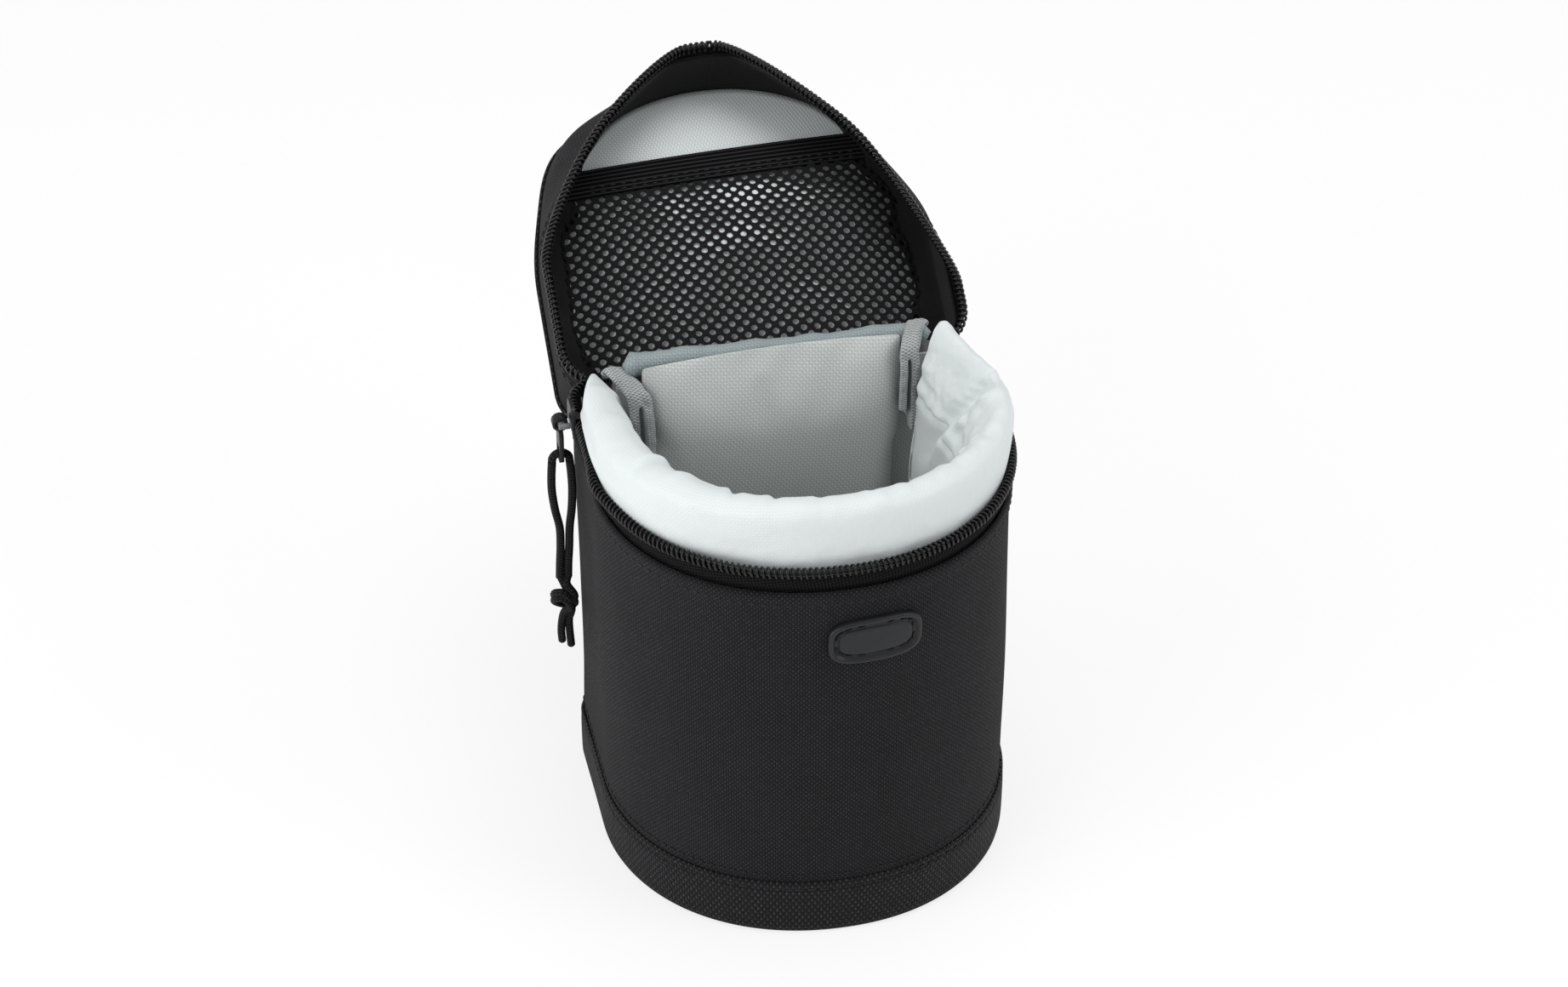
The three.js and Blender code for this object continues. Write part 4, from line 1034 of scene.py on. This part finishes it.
class POUCH_OT_collar(PouchOperator):
    """Builds the padded collar and the lining of the walls"""
    bl_idname = "pouch.collar"
    bl_label = "Collar and lining"

    def execute(self, context):
        foot, top, thick = COLLAR_FOOT, COLLAR_TOP, 10.0
        # Section of the roll, from its outer foot over the top and round to the foot again
        length, section = path_of((
            (0, foot), (0.25, foot + 6), (0.3, foot + 13), (0.0, top - 5), (-0.9, top - 2.2),
            (-2.6, top - 0.5), (-4.6, top - 0.2), (-6.6, top - 0.6), (-8.6, top - 2.2),
            (-thick + 0.2, top - 4.6), (-thick, foot + 12), (-thick + 0.6, foot + 6), (-thick, foot),
            (0, foot)))

        def roll(u, v, folded=True):
            d = SIDE_ARC * (2 * u - 1)
            share = d / SIDE_ARC
            out, z = section(v * length)
            shift, upper, lower, rise = (float(np.interp(share, COLLAR_SHARES, row)) for row in (
                COLLAR_OUT, COLLAR_UPPER, COLLAR_LOWER, COLLAR_RISE))
            high = smooth(z, foot, top)
            inner = smooth(v, 0.4, 0.55) * smooth(0.97 - v, 0, 0.1)
            swing = swing_at(d)
            fold = long_fold(d, z) if folded else 0
            for place, depth, width, slant in COLLAR_FOLDS if folded else ():
                fold += depth * crease((d - place - slant * (top - z)) / width)
            # The roll is round at both ends
            end = math.sqrt(1 - max(0, 1 - (SIDE_ARC - abs(d)) / 2) ** 2)
            wide = between(lower, upper, high)
            out = (out + thick / 2) * end * wide / thick - wide / 2
            out += (0.8 * swing + fold) * inner
            out += 1.1 * swell(z, 143, 4.5) * (1 - inner) * smooth(-share, 0.45, 0.8)
            z += rise * high + 0.9 * swing * smooth(z, top - 9, top) * (0.4 + 0.6 * inner)
            z -= 0.8 * fold * smooth(z, top - 9, top) * (0.25 + 0.75 * inner)
            z = foot + 8 + (z - foot - 8) * (0.7 + 0.3 * end if end > 0 else 0)
            low = -4.2 + 0.3 * smooth(abs(share), 0.5, 0.7)
            return body_at(d, out + between(low, shift, high ** 0.6), z), (d, v * length)

        collar = sheet("collar", 190, 40, lambda u, v: roll(u, v, False))
        held = {}
        for vertex in collar.data.vertices:
            at = vertex.co
            loose = 0.8 * smooth(at.x, 40 * MM, 50 * MM) * smooth(at.y, -10 * MM, 10 * MM)
            held[vertex.index] = 1.0 if at.z < (foot + 1.5) * MM else loose
        cloth = {}
        for loop, spot in zip(collar.data.loops, collar.data.uv_layers[0].data):
            cloth[loop.vertex_index] = ((spot.uv[0] / MM / SIDE_ARC + 1) / 2, spot.uv[1] / MM / length)
        inflated(collar, held, 1.6, -0.06, bending=0.05)
        # The folds come after the filling, which would press them flat
        for vertex in collar.data.vertices:
            place = cloth[vertex.index]
            vertex.co += (roll(*place)[0] - roll(*place, False)[0]) * MM
        soften(collar)
        finish(collar, "collar", "pouch", nodes=["padded_collar"])
        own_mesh(collar)

        lining = sheet("wall_lining", 190, 64, self.wall, thick=0.6)
        finish(lining, "collar", "pouch", nodes=["compartment_lining"], held="stretched")
        dress("floor_lining", "base_lining", "pad", "pouch", 0.2)
        return {"FINISHED"}

    def wall(self, u, v):
        d = CORNER_ARC * (2 * u - 1)
        z = between(FLOOR, COLLAR_FOOT + 2, v)
        out = -12.2 + 0.8 * uneven(d * 0.05, z * 0.02, 4)
        # At the right rear the wall carries on the collar's inner side, and its top edge is tucked in
        rear = smooth(d, SIDE_ARC - 62, SIDE_ARC - 38) * (1 - smooth(d, SIDE_ARC - 6, SIDE_ARC - 1))
        flush = -3.9 - float(np.interp(d / SIDE_ARC, COLLAR_SHARES, COLLAR_LOWER))
        flush += 0.8 * swing_at(d) + long_fold(d, z)
        flush += 3.5 * smooth(z, COLLAR_FOOT - 0.6, COLLAR_FOOT + 1.4) - 2.4 * smooth(COLLAR_FOOT - z, 4, 24)
        return body_at(d, between(out, flush, rear), z), (d, z)


# Middle line of each seam tape: over the seam's top, then down in front of the pad's edge
TAPE_WAYS = {
    "left": ((-50, 44.6, 142.0), (-49, 43, 143.6), (-46.8, 37, 143.4), (-44.6, 31, 142.2), (-43.8, 29, 140.6),
             (-43.4, 28.4, 136), (-43.0, 28.4, 128), (-42.6, 28.6, 112)),
    "right": ((46.2, 44.6, 146.8), (45.2, 43, 149.0), (42.8, 37, 149.8), (40.8, 31, 148.6), (40.2, 29, 146.6),
              (40.0, 28.4, 141), (39.8, 28.4, 133), (39.6, 28.6, 118)),
}
# Share of a tape's length at which it turns down and its two legs part
LEGS_SHARE = 0.44


class POUCH_OT_back(PouchOperator):
    """Builds the back pad, the rolled hem and the seam tapes"""
    bl_idname = "pouch.back"
    bl_label = "Back padding"

    def execute(self, context):
        self.pad()
        self.hem()
        dress("rear_lining", "back_lining", "pad", "pouch", 0.2)
        self.tape("left", -1, 3.9)
        self.tape("right", 1, 3.3)
        return {"FINISHED"}

    def pad(self):
        pad = dressed("back_cushion", "back_pad", 0)
        modifier(pad, "REMESH", mode="VOXEL", voxel_size=3.5 * MM)
        applied(pad)
        low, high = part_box("back_pad")
        swelling, crown_radius, pinned = 0.8 * MM, 7.8 * MM, 1.2 * MM
        for vertex in pad.data.vertices:
            at = vertex.co
            at.y += swelling if at.y < (low[1] + high[1]) / 2 else 0
            # The front of its top edge is a quarter round, and the top rises towards the middle and the right
            crown = min(max(0, at.z - high[2] + crown_radius), 7.7 * MM)
            round_off = crown_radius - math.sqrt(crown_radius ** 2 - crown ** 2)
            at.y += round_off * (1 - smooth(at.y, low[1], high[1]))
            across = at.x / high[0]
            rise = (0.8 + 1.2 * across + 2 * (1 - across * across)) * MM
            at.z += rise * smooth(at.z, high[2] - 30 * MM, high[2])
            at.x *= 1.09 if at.x < 0 else 1
        held = {v.index: 1.0 for v in pad.data.vertices if v.co.y > high[1] - pinned}
        inflated(pad, held, 2.2, -0.01)
        soften(pad)
        finish(pad, "pad", "pouch", nodes=["back_pad"])

    def hem(self):
        half, y_mid, z_mid, radius = 47.0, 41.6, 145.0, 3.3

        def roll(u, v):
            x = half * (2 * u - 1) + 2.5 * smooth(u, 0.8, 1)
            angle = math.pi * (1.5 - 2 * v)
            sway = uneven(x * 0.09, 0.2, 7.7) + 0.5 * uneven(x * 0.3, v * 4, 1.7)
            # Wider at its left end, and closed at both
            size = radius * (1 + 0.14 * sway) * (1.25 - 0.25 * smooth(x, 1 - half, 8 - half))
            size *= min(1, 40 * u, 40 * (1 - u))
            z = z_mid + 0.5 * sway + size * 1.1 * math.sin(angle)
            return Vector((x, y_mid + size * math.cos(angle), z)), (x, radius * angle)

        piece = sheet("back_hem_roll", 70, 16, roll, core=(0, y_mid, z_mid))
        finish(piece, "hem", "pouch", nodes=["back_hem"])

    def tape(self, word, side, half):
        """A thick tape folded over the seam's top, its two legs hanging side by side"""
        line = resample(TAPE_WAYS[word], 60)
        across = Vector((1, 0, 0))

        def place(u, v):
            wide = 2 * u - 1
            low = smooth(v, LEGS_SHARE, 0.5)
            # The leg nearer the middle hangs in front and ends first
            front = smooth(-side * wide, -0.1, 0.1) * low
            spot = (v - max(0, v - LEGS_SHARE) * 0.3 * front) * (len(line) - 1)
            step = min(len(line) - 2, int(spot))
            out = across.cross((line[step + 1] - line[max(step - 1, 0)]).normalized()).normalized()
            if out.y > 0 or out.z < -0.2:
                out = -out
            crumple = uneven(v * 9, wide * 1.2, side * 3) + 0.5 * uneven(v * 22, wide * 3, 5)
            groove = 3.0 * low * math.exp(-(wide / 0.16) ** 4)
            lift = 0.7 * crumple - groove - 1.3 * abs(wide) ** 6 + 1.1 * front
            at = line[step].lerp(line[step + 1], spot - step) + out * lift
            return at + across * wide * half * (1 + 0.08 * crumple), (wide * half, v * 50)

        piece = sheet("seam_tape_" + word, 20, 59, place, core=(0, 90, 100), thick=2.0)
        soften(piece)
        finish(piece, "binding", "pouch", nodes=["seam_binding_" + word])


class POUCH_OT_badge(PouchOperator):
    """Builds the bare rubber badge with its raised rim and stitched channel"""
    bl_idname = "pouch.badge"
    bl_label = "Badge"

    def execute(self, context):
        half_w, half_h, right, middle = 14.2, 7.7, 9.4, 110.6
        start = float(np.interp(right, TABLE[:FRONT_STEPS + 1, 0], DISTANCES[:FRONT_STEPS + 1]))
        # Steps from the edge inwards: inset and height
        steps = ((7.69, -0.2), (0, -0.2), (0, 1.5), (0.25, 1.95), (0.7, 2.1), (1.3, 2.0), (1.6, 1.5),
                 (1.9, 1.1), (3.0, 1.1), (3.2, 1.5), (3.5, 1.6), (5.0, 1.62), (7.69, 1.62))
        # Its outline is a rounded rectangle, a superellipse of this power
        power = 3.4

        def edge(share, inset):
            angle = 2 * math.pi * share
            ways = ((math.cos(angle), half_w - inset), (math.sin(angle), half_h - inset))
            return [math.copysign(abs(way) ** (2 / power), way) * size for way, size in ways]

        def place(u, v):
            at = v * (len(steps) - 1)
            inset, height = (float(np.interp(at, range(len(steps)), row)) for row in zip(*steps))
            x, z = edge(u, inset)
            return body_at(start + x, height, middle + z), (x, z)

        tile = sheet("badge_tile", 96, len(steps) * 2 - 2, place)
        finish(tile, "rubber", "pouch", nodes=["badge"])

        girth, channel_inset, channel_floor = 62, 2.45, 1.1

        def channel(d, out):
            x, z = edge(d / girth, channel_inset)
            return body_at(start + x, channel_floor + out, middle + z)

        row = stitches("badge_stitches", channel, 0, girth, 0.1, 1.1)
        finish(row, "thread", "pouch")
        return {"FINISHED"}


# Middle of the lid's inside, and of the part of it behind the net
LID_CORE = tuple(opened((0, 0, ZIP + 18)))
NET_CORE = tuple(opened((0, 0, ZIP + 60)))


def pocket_bulge(x, y):
    """How far the net stands out of the lid, at a place of the closed lid."""
    side = 1 - min(1, (abs(x) / 56) ** 3)
    low = smooth(46 - y, 0, 16)
    high = 1 - 0.55 * smooth(-y, 10, 30)
    return (6.5 + 2.0 * uneven(x * 0.03, y * 0.035, 4.4)) * side * low * high


class POUCH_OT_lid_walls(PouchOperator):
    """Builds the lid's deep wall: outer cloth, brushed lining, zip tape and coil, in two halves"""
    bl_idname = "pouch.lid_walls"
    bl_label = "Lid walls"

    def execute(self, context):
        self.half("left", -1, ["lid_rear_wall"], ["lid_rear_lining"])
        self.half("right", 1, [], [])
        return {"FINISHED"}

    def half(self, word, side, rear_wall, rear_lining):
        blend = lean_blend(word)

        def outer(u, v):
            d, h = side * HALF_ARC * u, between(6.5, LID - 0.4, v)
            sway = 0.5 * uneven(d * 0.04, h * 0.05, 9)
            return lid_at(d, -0.2 + sway * smooth(h, 8, 14) + shoulder(d, h), h), (d, h)

        wall = sheet("lid_cloth_" + word, 110, 16, outer, LID_CORE, 1.0)
        finish(wall, "shell", blend=blend, nodes=["lid_side_wall_" + word, *rear_wall],
               held="stretched")

        def inner(u, v):
            d, h = side * HALF_ARC * u, between(5.5, 27.5, v)
            # Near the hinge the lining is loose and stands in deep folds
            deep = smooth(abs(d), FRONT_ARC - 60, FRONT_ARC - 20)
            fold = uneven(d * 0.09, h * 0.06, 12) * (0.4 + 1.8 * deep * smooth(h, 18, 22))
            gusset = (7.0 + 2.0 * fold) * smooth(h, 19.5, 24.5) * deep
            return lid_at(d, -1.9 - abs(fold) - gusset, h), (d, h)

        lining = sheet("lid_lining_" + word, 110, 14, inner, LID_CORE, 0.6, 1)
        finish(lining, "brushed", blend=blend, held="stretched",
               nodes=["lid_side_lining_" + word, *rear_lining])

        def tape(u, v):
            d, h = side * ZIP_END * u, between(2.6, 10.5, v)
            return lid_at(d, -0.35 + 0.2 * smooth(h, 8.5, 9.3), h), (d, h)

        strip = sheet("lid_zip_tape_" + word, 100, 10, tape, LID_CORE, 0.8)
        finish(strip, "tape", blend=blend, nodes=["upper_zip_tape_" + word])
        row = coil("lid_zip_coil_" + word, lambda d, out, height: lid_at(d, -0.25 + out, 2.1 - height),
                   side * 0.2, side * ZIP_END)
        finish(row, "coil", blend=blend, nodes=["upper_zip_coil_" + word])
        line = stitches("lid_stitch_" + word, lambda d, out: lid_at(d, -0.1 + out, 12.3),
                        side * 1.5, side * ZIP_END)
        finish(line, "thread", blend=blend)


class POUCH_OT_lid_panel(PouchOperator):
    """Builds the lid's top cloth, its piping and the pale panel inside"""
    bl_idname = "pouch.lid_panel"
    bl_label = "Lid panel"

    def execute(self, context):
        outwards = opened((0, 0, ZIP + 1)) - opened((0, 0, ZIP))

        def cover(u, v):
            d = HALF_ARC * (2 * u - 1)
            edge = lid_at(d, -0.3 + shoulder(d, LID), LID - 0.6)
            middle = opened((0, -4, ZIP + LID + 0.8))
            x, y, _, _ = around(d)
            return middle.lerp(edge, v) + outwards * (0.9 * (1 - v ** 2) - 0.4 * v ** 8), (x * v, y * v)

        lid_cloth = sheet("lid_top_cloth", 140, 20, cover, LID_CORE, 1.0)
        finish(lid_cloth, "shell", "lid", nodes=["lid_top_panel"], held="stretched")
        ring = [lid_at(d, 0.1 + shoulder(d, LID), LID - 0.7) for d in np.linspace(-HALF_ARC, HALF_ARC, 121)]
        finish(tube("lid_piping", ring, 1.0, 8, 240, ends=False), "band", "lid")

        def pale(u, v):
            d = HALF_ARC * (2 * u - 1)
            edge = lid_at(d, -2.4, 26.2)
            middle = opened((0, -6, ZIP + 25.2))
            x, y = (way * v for way in around(d)[:2])
            puff = 1.6 * (1 - v ** 4) + 0.4 * uneven(x * 0.03, y * 0.03, 1)
            # Behind the net the panel is full, and nearly touches it
            near = pocket_bulge(x, y) + 0.4 - 1.2 * abs(uneven(x * 0.05, y * 0.05, 6))
            full = smooth(y, HINGE_Y - 78, HINGE_Y - 66) * smooth(0.97 - v, 0, 0.12)
            return middle.lerp(edge, v) - outwards * between(puff, near, full), (x, y)

        inside = sheet("lid_inner_panel", 140, 28, pale, NET_CORE, 0.7, 1)
        finish(inside, "panel", "lid", nodes=["lid_lining"], held="gathered")
        foam = dress("lid_padding", "lid_foam", "foam", "lid", 0.5)
        self.hinge()
        return {"FINISHED"}

    def hinge(self):
        y_mid, z_mid, radius = 48.2, 135.42, 0.8

        def roll(u, v):
            angle = math.pi - math.radians(150) * v
            x = HALF_BACK * (2 * u - 1)
            y, z = y_mid + radius * math.cos(angle), z_mid + radius * math.sin(angle)
            return Vector((x, y, z)), (x, v * 2.2)

        fold = sheet("hinge_cloth", 40, 8, roll, (0, y_mid, 133), 0.9, 0)
        blend = ("pouch", "lid", (0, 47.4 * MM, 135 * MM), (0, 49.2 * MM, 135.9 * MM))
        finish(fold, "shell", blend=blend, nodes=["hinge_fold"])


def inside_widths(side):
    """Half widths of one side of the lid's inside by depth, as two lists."""
    rows = []
    for d in np.linspace(0.5, SIDE_ARC + 10, 90):
        x, y, nx, ny = around(side * d)
        lean = lean_at(x, y, 24)
        rows.append((y + lean.y - ny * 2.6, abs(x + lean.x - nx * 2.6)))
    return tuple(zip(*sorted(rows)))


# The elastic's width, and half the pocket's mouth
ELASTIC = 9.6
MOUTH = 52


class POUCH_OT_pocket(PouchOperator):
    """Builds the lid's net pocket and its ribbed elastic"""
    bl_idname = "pouch.pocket"
    bl_label = "Net pocket"

    def execute(self, context):
        pitch = context.scene.pouch_sizes.net_pitch / MM
        widths = {side: inside_widths(side) for side in (-1, 1)}

        def limit(x, y):
            return float(np.interp(y, *widths[1 if x > 0 else -1]))

        def mouth(x):
            return HINGE_Y - 76 - 0.042 * x

        def inside(x, y):
            return abs(x) < limit(x, y) - 3.4 and mouth(x) - 1 < y < 46.5

        count = 56
        bm = bmesh.new()
        layer = bm.loops.layers.uv.new("cloth")
        bmesh.ops.create_grid(bm, x_segments=count, y_segments=count, size=count * pitch / 2)
        bmesh.ops.rotate(bm, verts=bm.verts, cent=(0, 0, 0), matrix=Matrix.Rotation(math.pi / 4, 3, "Z"))
        gone = [f for f in bm.faces if not inside(*f.calc_center_median().xy)]
        bmesh.ops.delete(bm, geom=gone, context="FACES")
        cells = list(bm.faces)
        cut = len(cells) * (pitch * MM) ** 2
        # Each bar is a quarter of the pitch wide
        bmesh.ops.inset_individual(bm, faces=cells, thickness=pitch / 8, use_even_offset=True)
        bmesh.ops.delete(bm, geom=cells, context="FACES")
        for face in bm.faces:
            for loop in face.loops:
                loop[layer].uv = loop.vert.co.xy * MM
        for vertex in bm.verts:
            x, y, _ = vertex.co
            vertex.co = opened((x, y, ZIP + 23.4 - pocket_bulge(x, y)))
        face_away(bm, NET_CORE)
        net = new_object("net", bm)
        soften(net)
        thicken(net, 0.35, 0)
        finish(net, "net", "lid", nodes=["mesh_pocket"], held="stretched", cut=cut)

        def on_band(x, v, out=0):
            """A place on the elastic, at a share of its width from the mouth down"""
            y = mouth(x) + 1.5 - ELASTIC * v
            side = limit(x, y)
            x = max(-side, min(side, x))
            lift = 2.2 * (1 - (x / 56) ** 2) + 0.4 * math.sin(math.pi * v)
            return opened((x, y, ZIP + 22.8 - lift - out))

        def band(u, v):
            point = on_band(MOUTH * (2 * u - 1), v)
            return point, (point.x, v * ELASTIC)

        strip = sheet("elastic_band", 90, 12, band, NET_CORE, 1.2, 0)
        finish(strip, "elastic", "lid", nodes=["pocket_elastic"])
        for i, share in enumerate((0.12, 0.3)):
            row = stitches("elastic_stitch_%d" % i, lambda x, out: on_band(x, share, out), -44, 44, 0.7, 0.7)
            finish(row, "thread", "lid")
        return {"FINISHED"}


class POUCH_OT_belt(PouchOperator):
    """Builds the belt strap, its sewn head and its hook and loop foot"""
    bl_idname = "pouch.belt"
    bl_label = "Belt strap"

    def execute(self, context):
        dress("strap_webbing", "belt_strap", "webbing", "strap", 0.5, 3)
        dress("strap_head", "strap_anchor", "webbing", "pouch", 0.5, 3)
        dress("hook_tape", "hook_patch", "hooks", "strap", 0.2, 3)
        dress("loop_tape", "loop_patch", "loops", "pouch", 0.2, 3)

        # Box and cross of stitches on the strap's head
        side, low, high, face = 16, 94.5, 102.2, 50.3
        length, box = path_of(((-side, low), (side, low), (side, high), (-side, high), (-side, low),
                               (side, high), (side, low), (-side, high)))

        def path(d, out):
            x, z = box(d)
            return Vector((x, face + out, z))

        row = stitches("strap_box_stitch", path, 0, length, 0.1, 0.8)
        finish(row, "thread", "pouch")
        return {"FINISHED"}


class POUCH_OT_padding(PouchOperator):
    """Gives the hidden foams and boards their materials"""
    bl_idname = "pouch.padding"
    bl_label = "Foam and boards"

    def execute(self, context):
        for node in ("base_foam", "wall_foam", "back_foam"):
            dress(node + "_cut", node, "foam", "pouch", 0.4)
        for node in ("base_board", "back_board"):
            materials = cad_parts[node].data.materials
            materials.clear()
            materials.append(finish_of("board"))
        return {"FINISHED"}


class POUCH_OT_stage(PouchOperator):
    """Builds the pale floor, the soft lights and the white surroundings"""
    bl_idname = "pouch.stage"
    bl_label = "Stage"

    def execute(self, context):
        scene = context.scene
        self.floor()
        scene.world = scene.world or bpy.data.worlds.new("surroundings")
        scene.world.use_nodes = True
        tree = scene.world.node_tree
        tree.nodes.clear()
        # The camera sees white, and what the surroundings light stays dark enough for black cloth
        soft, white = (add(tree, "ShaderNodeBackground", {"Color": (1, 1, 1, 1), "Strength": strength})
                       for strength in (0.44, 1.0))
        path = add(tree, "ShaderNodeLightPath")
        both = add(tree, "ShaderNodeMixShader", {
            0: path.outputs["Is Camera Ray"], 1: soft.outputs[0], 2: white.outputs[0]})
        add(tree, "ShaderNodeOutputWorld", {0: both.outputs[0]})

        # Place, width in metres and power of each lamp
        lamps = (("key", (-1.0, -0.75, 1.1), 0.8, 6.2), ("side", (-1.3, -0.3, 0.45), 0.7, 7.2),
                 ("fill", (1.1, -0.6, 0.8), 0.8, 6.4), ("top", (0.15, 0.1, 1.5), 0.9, 7.6))
        for name, place, size, power in lamps:
            data = set_all(bpy.data.lights.new(name, "AREA"), shape="DISK", size=size, energy=power)
            aim(placed(name, data), place, Vector((0, 0, 0.1)) - Vector(place))
        scene.view_settings.view_transform = "Standard"
        return {"FINISHED"}

    def floor(self):
        """A pale floor that keeps a soft shadow and looks as white as the background"""
        bm = bmesh.new()
        bmesh.ops.create_grid(bm, x_segments=1, y_segments=1, size=6.0)
        floor = new_object("floor", bm, 1.0)
        look = Look("pale_studio_floor", lies=None, rough=0.9)
        look.shader.inputs["Base Color"].default_value = (0.95, 0.95, 0.95, 1)
        glow = look.add("ShaderNodeEmission", {"Color": (1, 1, 1, 1), "Strength": 1.0})
        path = look.add("ShaderNodeLightPath")
        seen = look.add("ShaderNodeMath", {0: path.outputs["Is Camera Ray"], 1: 0.77}, operation="MULTIPLY")
        blend = look.add("ShaderNodeMixShader", {
            0: seen.outputs[0], 1: look.shader.outputs[0], 2: glow.outputs[0]})
        look.tree.links.new(blend.outputs[0], look.tree.nodes["Material Output"].inputs["Surface"])
        floor.data.materials.append(look.made)


class POUCH_PT_panel(bpy.types.Panel):
    bl_idname = "POUCH_PT_panel"
    bl_label = "Lens Pouch"
    bl_space_type = "VIEW_3D"
    bl_region_type = "UI"
    bl_category = "Pouch"

    def draw(self, context):
        layout = self.layout
        for group in (context.scene.pouch_sizes, context.scene.pouch_colours):
            for name in group.__annotations__:
                layout.prop(group, name)
        for step in STEPS:
            layout.operator(step.bl_idname)


STEPS = (POUCH_OT_camera, POUCH_OT_pull, POUCH_OT_shell, POUCH_OT_zip, POUCH_OT_collar, POUCH_OT_back,
         POUCH_OT_badge, POUCH_OT_lid_walls, POUCH_OT_lid_panel, POUCH_OT_pocket, POUCH_OT_belt,
         POUCH_OT_padding, POUCH_OT_stage)
CLASSES = (PouchSizes, PouchColours, *STEPS, POUCH_PT_panel)


def register():
    for item in CLASSES:
        bpy.utils.register_class(item)
    bpy.types.Scene.pouch_sizes = bpy.props.PointerProperty(type=PouchSizes)
    bpy.types.Scene.pouch_colours = bpy.props.PointerProperty(type=PouchColours)


def unregister():
    del bpy.types.Scene.pouch_colours
    del bpy.types.Scene.pouch_sizes
    for item in reversed(CLASSES):
        bpy.utils.unregister_class(item)


def main():
    register()
    for step in STEPS:
        getattr(bpy.ops.pouch, step.bl_idname.split(".")[1])()


if __name__ == "__main__":
    main()
